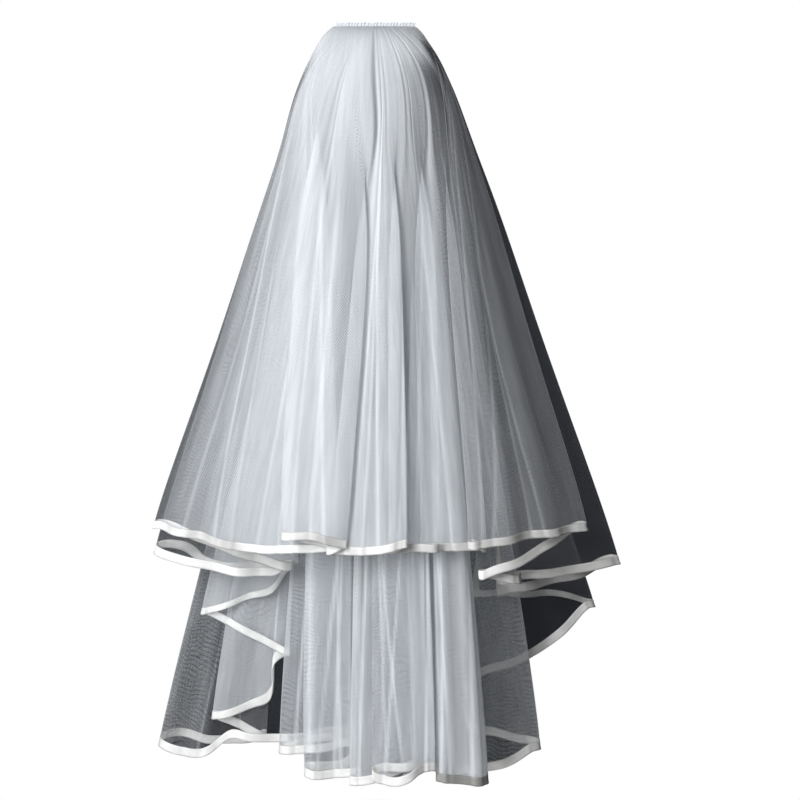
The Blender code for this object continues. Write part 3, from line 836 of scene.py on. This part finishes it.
@dataclass(frozen=True)
class DrapeSizes:
    """The sizes that both tiers share."""

    ribbon_width: float = 0.0095
    seam_gap: float = 0.0003
    gather_half_width: float = 0.041
    heading_height: float = 0.0037
    heading_pitch: float = 0.0036
    heading_depth: float = 0.0002
    heading_shift: float = 0.0012
    heading_tilt: float = 0.0006
    heading_twist: float = 2.2
    gather_bunch: float = 1.5
    gather_slow: float = 7.3
    gather_other: float = 4.1
    gather_turn: float = 1.7
    gather_even: float = 0.7
    gather_swing: float = 0.45
    depth_power: float = 0.32
    back_power: float = 0.6
    back_start: float = 0.03
    shoulder_rise: float = 0.07
    shoulder_fall: float = 0.8
    crown_spread: float = 0.19
    crown_right: float = 0.55
    crown_rise: float = 0.012
    crown_end: float = 0.17
    crown_power: int = 3
    waist: float = 0.03
    soft_share: float = 0.114
    soft_least: float = 0.001
    soft_reach: int = 3
    curve_steps: int = 24
    turn_length: float = 0.006
    turn_inset: float = 0.010
    steepest_hem: float = 2.2
    ripple_length: float = 0.050
    ripple_depth: float = 0.0028
    ripple_swell_length: float = 0.23
    ripple_swell: float = 0.45
    ripple_phase: float = 0.7
    ripple_calm: float = 0.012
    pucker_pitch: float = 0.0033
    pucker_depth: float = 0.00042
    pucker_fade: float = 0.022
    pucker_ends: int = 6
    pinch_depth: float = 0.0007
    pinch_height: float = 0.006
    pinch_reach: float = 0.06
    crease_rise: float = 0.05
    crease_ease: float = 0.0225
    sharp_crease: float = 0.004
    doubled_share: float = 0.55
    side_start: float = 0.05
    side_end: float = 0.985
    side_full: float = 0.92
    side_least: float = 0.16
    side_rise: float = 0.5
    side_point: float = 0.045
    slant_spread: float = 7.0
    stitch_pucker_pitch: float = 0.0145
    stitch_pucker_depth: float = 0.00018
    stitch_pucker_inner: float = 0.35


SIZES = DrapeSizes()


def running_sum(steps: np.ndarray) -> np.ndarray:
    """The lengths along a line at its points, from its steps."""
    return np.concatenate([[0.0], np.cumsum(steps)])


def between(place: float, start: float, end: float, first: Any, last: Any) -> Any:
    """Blend points along a straight line.

    Args:
        place: where on the line.
        start: the place of the first point.
        end: the place of the last point.
        first: the first point.
        last: the last point.

    Returns:
        The point at the place.
    """
    return ((end - place) * first + (place - start) * last) / (end - start)


def profile(rows: Rows, along: np.ndarray) -> list[np.ndarray]:
    """Read a table at places along the hem.

    Args:
        rows: a place in millimetres and the values there, in order.
        along: the wanted places, in metres.

    Returns:
        The values at the wanted places, a run for each column of the table.
    """
    places, *columns = np.array(rows).T
    return [np.interp(along, places * MM, column) for column in columns]


class Drape:
    """The surface of one tier: its hem's plan, drawn together on the comb."""

    def __init__(
        self,
        folds: Sequence[Fold],
        creases: Sequence[Crease],
        top: float,
        fade: float,
        columns: int,
    ) -> None:
        """Work out the hem.

        Args:
            folds: the hem's turns, from the left side edge to the right one.
            creases: the soft ridges and troughs.
            top: the depth of the top edge.
            fade: the share of the drop over which the hem's small turns die out.
            columns: how many columns of points the cloth has.
        """
        self.folds = folds
        self.creases = creases
        self.top = top
        self.fade = fade
        self.columns = columns
        self.x, self.y, self.z, self.shoulder_x, self.top_x, self.along = self.hem_line()
        self.ripple = self.ripple_offsets()

    def fold_points(self) -> np.ndarray:
        """Control points of the hem: x, y, z and shoulder_x, three for each turn."""
        points = []
        for index, fold in enumerate(self.folds):
            if fold.depth_out is None:
                points.append((fold.x, fold.depth, fold.z, fold.shoulder_x))
                continue
            neighbours = self.folds[index - 1].x + self.folds[index + 1].x
            side = math.copysign(1.0, 2 * fold.x - neighbours)
            reach = 0.5 * abs(fold.depth_out - fold.depth)
            inset = fold.x - side * min(reach, SIZES.turn_inset / MM)
            middle = 0.5 * (fold.depth + fold.depth_out)
            for x, depth in ((inset, fold.depth), (fold.x, middle), (inset, fold.depth_out)):
                points.append((x, depth, fold.z, fold.shoulder_x))
        return np.array(points) * MM

    def smooth_curve(self, points: np.ndarray) -> np.ndarray:
        """A centripetal Catmull-Rom curve through the points.

        Args:
            points: rows of x, y, z and shoulder_x.

        Returns:
            The curve's rows; shoulder_x runs straight between the points.
        """
        places = points[:, :3]
        before = 2 * places[0] - places[1]
        after = 2 * places[-1] - places[-2]
        padded = np.vstack([before, places, after])
        knots = running_sum(np.sqrt(np.linalg.norm(np.diff(padded, axis=0), axis=1)))
        samples = []
        for index in range(1, len(padded) - 2):
            p0, p1, p2, p3 = padded[index - 1 : index + 3]
            t0, t1, t2, t3 = knots[index - 1 : index + 3]
            for step in range(SIZES.curve_steps):
                share = step / SIZES.curve_steps
                t = t1 + share * (t2 - t1)
                middle = between(t, t1, t2, p1, p2)
                early = between(t, t0, t2, between(t, t0, t1, p0, p1), middle)
                late = between(t, t1, t3, middle, between(t, t2, t3, p2, p3))
                place = between(t, t1, t2, early, late)
                others = points[index - 1, 3:] * (1 - share) + points[index, 3:] * share
                samples.append(np.concatenate([place, others]))
        samples.append(points[-1])
        return np.array(samples)

    def hem_line(self) -> list[np.ndarray]:
        """The hem at its columns: x, y, z, shoulder_x, top_x and length along the hem."""
        curve = self.smooth_curve(self.fold_points())
        steps = np.diff(curve[:, :2], axis=0)
        headings = np.unwrap(np.arctan2(steps[:, 1], steps[:, 0]))
        turns = np.abs(np.diff(headings, prepend=headings[0]))
        along = running_sum(np.linalg.norm(steps, axis=1))
        true_lengths = np.linalg.norm(np.diff(curve[:, :3], axis=0), axis=1)
        measure = running_sum(true_lengths + SIZES.turn_length * turns)
        wanted = np.linspace(0.0, measure[-1], self.columns)
        fields = [np.interp(wanted, measure, curve[:, field]) for field in range(4)]
        lengthwise = np.interp(wanted, measure, along)
        share = 2 * lengthwise / lengthwise[-1] - 1
        bunch = SIZES.gather_bunch
        top_x = SIZES.gather_half_width * np.tanh(bunch * share) / math.tanh(bunch)
        return [*fields, top_x, lengthwise]

    def softened(self, values: np.ndarray, spread: float) -> np.ndarray:
        """Average values over neighbouring columns.

        Args:
            values: one value for each column.
            spread: the bell curve's width, in columns.

        Returns:
            The averaged values, with the two ends kept.
        """
        reach = min(math.ceil(SIZES.soft_reach * spread), len(values) - 2)
        offsets = np.arange(-reach, reach + 1)
        weights = np.exp(-0.5 * (offsets / spread) ** 2)
        before = 2 * values[0] - values[reach:0:-1]
        after = 2 * values[-1] - values[-2 : -reach - 2 : -1]
        padded = np.concatenate([before, values, after])
        return np.convolve(padded, weights / weights.sum(), mode="valid")

    def ripple_offsets(self) -> tuple[np.ndarray, np.ndarray]:
        """Sideways offsets of the hem's columns that make its wide ripples, as x and y."""
        run_x = np.gradient(self.x)
        run_y = np.gradient(self.y)
        size = np.hypot(run_x, run_y)
        turning = np.gradient(np.unwrap(np.arctan2(run_y, run_x))) / size
        calm = 1 / (1 + (turning * SIZES.ripple_calm) ** 2)
        swing = 2 * math.pi * self.along / SIZES.ripple_swell_length + SIZES.ripple_phase
        swell = 1 + SIZES.ripple_swell * np.sin(swing)
        wave = np.sin(2 * math.pi * self.along / SIZES.ripple_length)
        height = SIZES.ripple_depth * calm * swell * wave
        return -run_y / size * height, run_x / size * height

    def crease_shape(
        self, crease: Crease, drop: np.ndarray | float, share: float = 1.0
    ) -> np.ndarray:
        """A crease's bell curve across the cloth, within its window down the drop.

        Args:
            crease: the crease.
            drop: the share of the drop, or one for each column.
            share: how wide the curve is, as a share of the crease's own width.

        Returns:
            1 on the crease and 0 away from it, for each column.
        """
        place = (crease.at + crease.lean * (1 - drop)) * MM
        bell = np.exp(-(((self.along - place) / (share * crease.reach * MM)) ** 2))
        opened = 1 / (1 + np.exp((crease.top - drop) / SIZES.crease_ease))
        closed = 1 / (1 + np.exp((drop - crease.foot) / SIZES.crease_ease))
        return bell * opened * closed

    def crease_height(self, drop: np.ndarray) -> np.ndarray:
        """How far the creases and gathers stand out of the plain surface.

        Args:
            drop: the share of the drop at each column.

        Returns:
            The height at each column, in metres.
        """
        height = np.zeros(self.columns)
        for crease in self.creases:
            height += crease.depth * MM * self.crease_shape(crease, drop)
        height *= 1 - np.exp(-drop / SIZES.crease_rise)
        turn = 2 * math.pi * self.along
        for gather in GATHERS:
            slow = np.sin(turn / (gather.pitch * SIZES.gather_slow) + gather.phase)
            swing = turn / (gather.pitch * SIZES.gather_other) + SIZES.gather_turn * gather.phase
            uneven = SIZES.gather_even + SIZES.gather_swing * np.sin(swing)
            wave = np.sin(turn / gather.pitch + gather.wander * slow + gather.phase)
            strength = (1 - np.exp(-drop / gather.rise)) * np.exp(-((drop / gather.fade) ** 2))
            height += gather.depth * strength * uneven * wave
        return height

    def doubled(self, share: float) -> np.ndarray:
        """Where the sharp creases double the net at one share of the drop, from 0 to 1."""
        lines = np.zeros(self.columns)
        for crease in self.creases:
            if crease.reach * MM < SIZES.sharp_crease:
                lines += self.crease_shape(crease, share, SIZES.doubled_share)
        return lines

    def row(self, share: float | np.ndarray) -> np.ndarray:
        """The cloth's points at one share of the drop.

        Args:
            share: 0 on the comb and 1 in the ribbon's middle, or one for each column.

        Returns:
            A point for each column.
        """
        drop = np.broadcast_to(np.asarray(share, float), (self.columns,))
        fields = [self.x, self.y, self.z, self.shoulder_x, *self.ripple]
        spread = SIZES.soft_share * self.columns * math.exp(-float(drop.mean()) / self.fade)
        if spread > SIZES.soft_least * self.columns:
            fields = [self.softened(field, spread) for field in fields]
        x, y, z, shoulder_x, ripple_x, ripple_y = fields
        top_x = self.top_x
        fall = np.clip(1 - drop, 0, 1) ** SIZES.shoulder_fall
        shoulder = (1 - np.exp(-drop / SIZES.shoulder_rise)) * fall
        back = drop**SIZES.back_power * (1 - np.exp(-drop / SIZES.back_start))
        deep = np.where(y < 0, drop**SIZES.depth_power, back)
        crown = np.exp(-((drop / SIZES.crown_end) ** SIZES.crown_power))
        crown = (1 - np.exp(-drop / SIZES.crown_rise)) * crown
        row_x = top_x + (x - top_x) * drop + (shoulder_x - top_x) * shoulder + ripple_x * drop
        spread_out = SIZES.crown_spread * crown * np.where(row_x > 0, SIZES.crown_right, 1.0)
        row_x = row_x * (1 + spread_out - SIZES.waist * np.sin(math.pi * drop) ** 2)
        row_y = self.top * (1 - drop) + y * deep + ripple_y * drop
        row_z = drop * (z.mean() + (z - z.mean()) * drop)
        run_x = np.gradient(row_x)
        run_y = np.gradient(row_y)
        size = np.hypot(run_x, run_y)
        height = self.crease_height(drop)
        row_x = row_x - run_y / size * height
        row_y = row_y + run_x / size * height + self.pucker(drop)
        return np.stack([row_x, row_y, row_z], axis=-1)

    def pucker(self, drop: np.ndarray) -> np.ndarray:
        """How far the gathering puckers on the comb move each column in or out."""
        swing = 2 * math.pi * self.top_x / SIZES.pucker_pitch + PUCKER_DRIFT.at(self.top_x)
        wave = np.cos(swing) * PUCKER_SIZE.at(self.top_x)
        from_middle = np.abs(self.top_x) / SIZES.gather_half_width
        ends = np.clip(1 - from_middle**SIZES.pucker_ends, 0, 1)
        return SIZES.pucker_depth * wave * ends * np.exp(-drop / SIZES.pucker_fade)

    def column_lengths(self) -> np.ndarray:
        """How long each column of cloth is from the comb to the hem."""
        return np.sqrt((self.x - self.top_x) ** 2 + self.y**2 + self.z**2)

    def hem_slant(self) -> np.ndarray:
        """How much longer than square a strip's width is, where the hem climbs or drops."""
        run = np.hypot(np.gradient(self.x), np.gradient(self.y))
        climb = np.gradient(self.z) / run
        slant = np.minimum(np.sqrt(1 + climb**2), SIZES.steepest_hem)
        return self.softened(slant, SIZES.slant_spread)


def outward(row: np.ndarray, end: int) -> np.ndarray:
    """The direction in which a row of points runs out past its first point or its last."""
    step = row[end] - row[1 if end == 0 else -2]
    return step / np.linalg.norm(step)


def grid_mesh(name: str, grid: np.ndarray, maps: np.ndarray) -> bpy.types.Object:
    """Make a sheet of quads through a grid of points.

    Args:
        name: the piece's name.
        grid: points by row and column.
        maps: the map's coordinates by row and column.

    Returns:
        The new object, with its map and smooth faces.
    """
    rows, columns, _ = grid.shape
    numbers = np.arange(rows * columns).reshape(rows, columns)
    corners = (numbers[:-1, :-1], numbers[1:, :-1], numbers[1:, 1:], numbers[:-1, 1:])
    quads = np.stack(corners, axis=-1).reshape(-1, 4)
    mesh = bpy.data.meshes.new(name)
    mesh.from_pydata(grid.reshape(-1, 3).tolist(), [], quads.tolist())
    layer = mesh.uv_layers.new(name=CLOTH_MAP)
    layer.data.foreach_set("uv", maps.reshape(-1, 2)[quads.reshape(-1)].reshape(-1))
    mesh.shade_smooth()
    piece = bpy.data.objects.new(name, mesh)
    bpy.context.scene.collection.objects.link(piece)
    return piece


def set_attribute(piece: bpy.types.Object, name: str, values: np.ndarray) -> None:
    """Let a piece's points carry a number each.

    Args:
        piece: the piece.
        name: what materials call the number.
        values: one for each point.
    """
    attribute = piece.data.attributes.new(name, "FLOAT", "POINT")
    attribute.data.foreach_set("value", values.reshape(-1))


@dataclass(frozen=True)
class VeilTier:
    """One tier of net with the satin ribbon along its hem and side edges."""

    name: str
    folds: Sequence[Fold]
    creases: Sequence[Crease]
    plies: Rows
    painted_lights: Rows
    top_depth: float
    soft_fade: float
    flat: Span
    flat_area: float
    doubled: float
    columns: int = 1200
    cloth_rows: int = 74
    heading_rows: int = 5
    ribbon_rows: int = 6
    side_rows: int = 60
    row_power: float = 1.45
    most_gathered: float = 12.0
    crown_fall: float = 0.22
    crown_power: float = 1.5
    seam_reach: float = 0.045
    seam_least: float = 0.38
    dense_end: float = 0.028
    dense_fade: float = 0.006
    ribbon_thickness: float = 0.0006
    ribbon_crown: float = 0.00012
    # The share of the hem's painted light that the side strips keep, which paints them in shade.
    side_painted_light: float = 0.3

    def build(self, tulle: bpy.types.Material, satin: bpy.types.Material) -> None:
        """Build the tier's net and ribbon and dress them.

        Args:
            tulle: the net's material.
            satin: the ribbon's material.
        """
        drape = Drape(self.folds, self.creases, self.top_depth, self.soft_fade, self.columns)
        cloth = self.build_cloth(drape)
        ribbon = self.build_ribbon(drape)
        for piece, material, node, slot in (
            (cloth, tulle, f"{self.name}_tier", Slot.TULLE),
            (ribbon, satin, f"{self.name}_ribbon", Slot.RIBBON),
        ):
            piece.data.materials.append(material)
            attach(piece, ROOT_BODY)
            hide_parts(node)
        LOG.info("%s tier: %d points of net", self.name, len(cloth.data.vertices))

    def build_cloth(self, drape: Drape) -> bpy.types.Object:
        """Build the net, from its heading above the comb to the ribbon's middle.

        Args:
            drape: the tier's surface.

        Returns:
            The net, with its map in metres and its plies, which also carry painted light and
            shade.
        """
        shares = np.linspace(0.0, 1.0, self.cloth_rows) ** self.row_power
        body = np.array([drape.row(share) for share in shares])
        body[..., 1] -= self.bulge(body[..., 2])
        grid = np.concatenate([self.heading(drape, body[0]), body])
        along = np.broadcast_to(drape.along, (len(grid), self.columns))
        levels = np.concatenate([np.zeros(self.heading_rows), shares])
        lengths = levels[:, None] * drape.column_lengths()[None, :]
        piece = grid_mesh(f"{self.name}_net", grid, np.stack([along, -lengths], axis=-1))
        set_attribute(piece, "plies", self.ply_and_light_counts(drape, shares))
        return piece

    def ply_and_light_counts(self, drape: Drape, shares: np.ndarray) -> np.ndarray:
        """How many plies of net lie on each other at each point, raised or lowered as painted
        light and shade.

        Args:
            drape: the tier's surface.
            shares: the shares of the drop of the net's rows below the seam.

        Returns:
            The plies by row and column, for the heading's rows and the body's.
        """
        hem, crown = profile(self.plies, drape.along)
        fall = np.exp(-((shares / self.crown_fall) ** self.crown_power))[:, None]
        inner = np.clip((self.dense_end - drape.top_x) / self.dense_fade, 0, 1)
        reach = self.seam_reach * (self.seam_least + (1 - self.seam_least) * inner)
        seam = np.exp(-((shares[:, None] / reach) ** 2))
        body = hem + (crown - hem) * fall
        body = body * (1 + self.doubled * np.array([drape.doubled(share) for share in shares]))
        body = body + (self.most_gathered - body) * seam
        heading = np.full((self.heading_rows, self.columns), self.most_gathered)
        return np.concatenate([heading, body])

    def bulge(self, height: np.ndarray) -> np.ndarray:
        """How far the net stands out just below and above the seam that pinches it."""
        near = np.exp(-((height / SIZES.pinch_reach) ** 2))
        return SIZES.pinch_depth * (near - np.exp(-((height / SIZES.pinch_height) ** 2)))

    def heading(self, drape: Drape, seam: np.ndarray) -> np.ndarray:
        """The ruffled heading above the seam.

        Args:
            drape: the tier's surface.
            seam: the points on the seam.

        Returns:
            Rows of points, from the heading's top down to just above the seam.
        """
        ragged = RAGGED_EDGE.at(drape.top_x)
        swing = 2 * math.pi * drape.top_x / SIZES.heading_pitch + RUFFLE_DRIFT.at(drape.top_x)
        rows = []
        for level in np.linspace(1.0, 0.0, self.heading_rows, endpoint=False):
            ruffle = np.cos(swing + SIZES.heading_twist * level)
            row = seam.copy()
            row[:, 0] += SIZES.heading_shift * level
            row[:, 1] -= SIZES.heading_tilt * level
            row[:, 1] -= SIZES.heading_depth * ruffle * math.sqrt(level)
            row[:, 2] += SIZES.heading_height * level * ragged
            rows.append(row)
        return np.array(rows)

    def build_ribbon(self, drape: Drape) -> bpy.types.Object:
        """Build the ribbon up one side, along the hem and up the other side.

        Args:
            drape: the tier's surface.

        Returns:
            The ribbon, a thin shell with its painted light and shade and its map along and across
            it.
        """
        lengths = drape.column_lengths() / drape.hem_slant()
        inner = 1 - (SIZES.ribbon_width - SIZES.seam_gap) / 2 / lengths
        outer = 1 + SIZES.ribbon_width / 2 / lengths
        places = np.linspace(0.0, 1.0, self.ribbon_rows)
        rows = np.array([drape.row(inner + (outer - inner) * place) for place in places])
        past = (SIZES.seam_gap + SIZES.ribbon_width * places)[:, None]
        rows[:, 0] += outward(rows[0], 0) * past
        rows[:, -1] += outward(rows[0], -1) * past
        left = self.side_strip(drape, places, 0)
        right = self.side_strip(drape, places, -1)[:, ::-1]
        points = np.concatenate([left, rows, right], axis=1)
        middle = points[self.ribbon_rows // 2]
        along = running_sum(np.linalg.norm(np.diff(middle, axis=0), axis=1))
        maps = np.stack(np.broadcast_arrays(along[None, :], places[:, None]), axis=-1)
        points = self.stitched(points, along, places)
        piece = grid_mesh(f"{self.name}_satin_edge", points, maps)
        # The ribbon's painted light and shade, listed along the hem; the side strips take a
        # smaller share of it, as more painted shade.
        (painted_light,) = profile(self.painted_lights, drape.along)
        ends = [np.full(self.side_rows, self.side_painted_light * painted_light[end]) for end in (0, -1)]
        painted_light = np.concatenate([ends[0], painted_light, ends[1]])
        set_attribute(piece, "painted_light", np.tile(painted_light, self.ribbon_rows))
        shell = piece.modifiers.new("Shell", "SOLIDIFY")
        shell.thickness = self.ribbon_thickness
        shell.offset = 0.0
        return piece

    def side_strip(self, drape: Drape, places: np.ndarray, end: int) -> np.ndarray:
        """The ribbon up one side edge, narrowed towards the comb.

        Args:
            drape: the tier's surface.
            places: the shares of the ribbon's width.
            end: the index of the side's column.

        Returns:
            Points by place and level, from the comb down.
        """
        edge = 1 - SIZES.ribbon_width / 2 * drape.hem_slant() / drape.column_lengths()
        strip = []
        for share in np.linspace(SIZES.side_start, SIZES.side_end, self.side_rows):
            row = drape.row(edge * share)
            taper = max(0.0, (share - SIZES.side_full) / (1 - SIZES.side_full))
            width = SIZES.ribbon_width * (SIZES.side_least + (1 - SIZES.side_least) * taper)
            width *= min(1.0, (share - SIZES.side_point) / SIZES.side_rise)
            strip.append(row[end] + outward(row, end) * (SIZES.seam_gap + width * places)[:, None])
        return np.stack(strip, axis=1)

    def stitched(self, points: np.ndarray, along: np.ndarray, places: np.ndarray) -> np.ndarray:
        """Give the ribbon its slight crown and the puckers that its stitches draw.

        Args:
            points: the ribbon's flat points.
            along: the length along the ribbon of each column.
            places: the share of the width of each row.

        Returns:
            The moved points.
        """
        normal = np.cross(np.gradient(points, axis=1), np.gradient(points, axis=0))
        size = np.maximum(np.linalg.norm(normal, axis=-1, keepdims=True), np.finfo(float).tiny)
        crown = self.ribbon_crown * np.sin(math.pi * places)
        swing = 2 * math.pi * along / SIZES.stitch_pucker_pitch + STITCH_DRIFT.at(along)
        pucker = SIZES.stitch_pucker_depth * np.sin(swing) * STITCH_PULL.at(along)
        lift = crown[:, None] + pucker * (SIZES.stitch_pucker_inner + places[:, None])
        return points + normal / size * lift[..., None]


# ------------------------------------------------------------------- comb and its sewing


@dataclass(frozen=True)
class CombSewing:
    """The comb, and the thread wound round its spine that holds the veil.

    There are two strands of thread in each gap between the teeth, which lean differently.
    """

    wraps: int = 15
    pitch: float = 0.00428
    spine_height: float = 0.005
    thread: float = 0.00032
    reach: float = 0.0012
    strand_shift: float = 0.000368
    leans: Span = (0.10, -0.06)
    round_segments: int = 24
    thread_segments: int = 6

    def build(self, plastic: bpy.types.Material, thread: bpy.types.Material) -> None:
        """Dress the comb and wind its thread.

        Args:
            plastic: the comb's material.
            thread: the thread's material.
        """
        for slot in bpy.data.objects["comb"].material_slots:
            slot.material = plastic
        piece = self.wind()
        piece.data.materials.append(thread)
        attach(piece, ROOT_BODY)
        LOG.info("comb: %d wraps of thread", self.wraps)

    def wind(self) -> bpy.types.Object:
        """Wind the thread round the spine, all wraps as one piece."""
        bpy.ops.object.select_all(action="DESELECT")
        bpy.ops.mesh.primitive_torus_add(
            major_segments=self.round_segments,
            minor_segments=self.thread_segments,
            major_radius=self.spine_height / 2 + self.thread,
            minor_radius=self.thread,
            rotation=(0.0, math.pi / 2, 0.0),
        )
        wrap = bpy.context.object
        bpy.ops.object.transform_apply(location=False, rotation=True, scale=True)
        for vertex in wrap.data.vertices:
            vertex.co.y = math.copysign(min(abs(vertex.co.y), self.reach), vertex.co.y)
        copies = []
        for index in range(self.wraps):
            middle = (index - (self.wraps - 1) / 2) * self.pitch
            for side, lean in zip((-1, 1), self.leans):
                copy = wrap.copy()
                copy.data = wrap.data.copy()
                for vertex in copy.data.vertices:
                    vertex.co.x += middle + side * self.strand_shift + lean * vertex.co.z
                bpy.context.scene.collection.objects.link(copy)
                copies.append(copy)
        bpy.data.objects.remove(wrap, do_unlink=True)
        bpy.ops.object.select_all(action="DESELECT")
        for copy in copies:
            copy.select_set(True)
        bpy.context.view_layer.objects.active = copies[0]
        bpy.ops.object.join()
        piece = bpy.context.object
        piece.name = "comb_thread"
        piece.data.shade_smooth()
        return piece


# ---------------------------------------------------------------------------- the studio


def put(name: str, data: bpy.types.ID, place: Point, target: Point) -> bpy.types.Object:
    """Put a lamp or a camera in the scene.

    Args:
        name: its name.
        data: its light or its camera settings.
        place: where it stands.
        target: what it looks at.

    Returns:
        The new object.
    """
    thing = bpy.data.objects.new(name, data)
    thing.location = place
    aim = Vector(target) - Vector(place)
    thing.rotation_euler = aim.to_track_quat("-Z", "Y").to_euler()
    bpy.context.scene.collection.objects.link(thing)
    return thing


@dataclass(frozen=True)
class Lamp:
    """A soft area light that looks at a point: its size is a width and a height."""

    name: str
    place: Point
    target: Point
    size: Span
    watts: float
    colour: Colour

    def hang(self) -> None:
        """Add the lamp to the scene."""
        light = bpy.data.lights.new(self.name, "AREA")
        light.shape = "RECTANGLE"
        light.size, light.size_y = self.size
        light.energy = self.watts
        light.color = self.colour
        put(self.name, light, self.place, self.target)


LAMPS = (
    Lamp("key", (-0.88, -1.58, 0.30), (0.0, 0.0, -0.38), (0.7, 1.0), 41.5, (0.97, 0.985, 1.0)),
    Lamp("low_fill", (-1.0, -1.4, -0.95), (-0.14, 0.0, -0.66), (0.5, 0.4), 7.0, (0.97, 0.98, 1.0)),
    Lamp("front_fill", (0.4, -2.7, 0.7), (0.02, 0.0, -0.40), (1.6, 1.6), 7.0, (1.0, 0.97, 0.94)),
)


@dataclass(frozen=True)
class Studio:
    """A pale floor, soft light, a backdrop and the camera."""

    floor_level: float = -0.95
    floor_radius: float = 0.34
    floor_corners: int = 96
    backdrop: float = 1.0
    behind_net: float = 0.012
    pale: Colour = (1.0, 1.0, 1.0)
    dark: Colour = (0.80, 0.90, 1.15)
    sky: float = 0.07
    clear_layers: int = 64
    lens: float = 94.05
    sensor: float = 36.0
    eye: Point = (0.0258, -2.1729, -0.0433)
    aim: Point = (0.0258, 0.0, -0.3875)

    def build(self, lamps: Sequence[Lamp]) -> None:
        """Build the floor, light the scene with lamps and set the camera."""
        scene = bpy.context.scene
        self.lay_floor()
        self.set_world(scene)
        for lamp in lamps:
            lamp.hang()
        self.set_camera(scene)
        scene.cycles.transparent_max_bounces = self.clear_layers
        scene.view_settings.view_transform = "Standard"
        LOG.info("studio: %d lamps", len(lamps))

    def lay_floor(self) -> None:
        """Lay a round pale floor."""
        bpy.ops.object.select_all(action="DESELECT")
        bpy.ops.mesh.primitive_circle_add(
            vertices=self.floor_corners,
            radius=self.floor_radius,
            fill_type="NGON",
            location=(0.0, 0.0, self.floor_level),
        )
        floor = bpy.context.object
        floor.name = "studio_floor"
        floor.data.materials.append(FloorFinish().material("pale_floor"))

    def set_world(self, scene: bpy.types.Scene) -> None:
        """Put a pale backdrop round the veil, and a dark one behind its net."""
        scene.world = bpy.data.worlds.new("studio_world")
        graph = Graph(scene.world)
        path = graph.add("ShaderNodeLightPath", {})
        seen = Tone(graph, path.outputs["Is Camera Ray"])
        through = Tone(graph, path.outputs["Transparent Depth"]).at_most(1.0)
        light = {
            "Color": graph.mix_colour(through * seen, self.pale, self.dark),
            "Strength": seen.span(self.sky, through.span(self.backdrop, self.behind_net)),
        }
        shader = graph.shader("ShaderNodeBackground", light)
        graph.add("ShaderNodeOutputWorld", {"Surface": shader})

    def set_camera(self, scene: bpy.types.Scene) -> None:
        """Look at the veil's outer side from a little above."""
        data = bpy.data.cameras.new("camera")
        data.lens = self.lens
        data.sensor_width = self.sensor
        scene.camera = put("camera", data, self.eye, self.aim)


def corners(box: Any) -> list[list[float]]:
    """A box's two corners as plain lists of numbers."""
    return [[float(number) for number in corner] for corner in box]


def main() -> None:
    """Build the veil's pieces in order, then the studio round them."""
    logging.basicConfig(level=logging.INFO, format="%(message)s")
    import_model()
    satin = SatinFinish().material("white_satin")
    CombSewing().build(
        CombFinish().material("comb_plastic"), ThreadFinish().material("sewing_thread")
    )
    upper = VeilTier(
        name="upper",
        folds=UPPER_FOLDS,
        creases=UPPER_CREASES,
        plies=UPPER_PLIES_AND_LIGHT,
        painted_lights=UPPER_PAINTED_LIGHT,
        top_depth=-0.0048,
        soft_fade=0.13,
        flat=(1.80, 0.57),
        flat_area=0.72,
        doubled=1.2,
    )
    upper.build(TulleFinish(waviness=0.35).material("upper_tulle"), satin)
    lower = VeilTier(
        name="lower",
        folds=LOWER_FOLDS,
        creases=LOWER_CREASES,
        plies=LOWER_PLIES_AND_LIGHT,
        painted_lights=LOWER_PAINTED_LIGHT,
        top_depth=-0.0026,
        soft_fade=0.14,
        flat=(1.98, 0.80),
        flat_area=1.00,
        doubled=2.2,
    )
    lower.build(TulleFinish(waviness=0.8).material("lower_tulle"), satin)
    Studio().build(LAMPS)


if __name__ == "__main__":
    main()
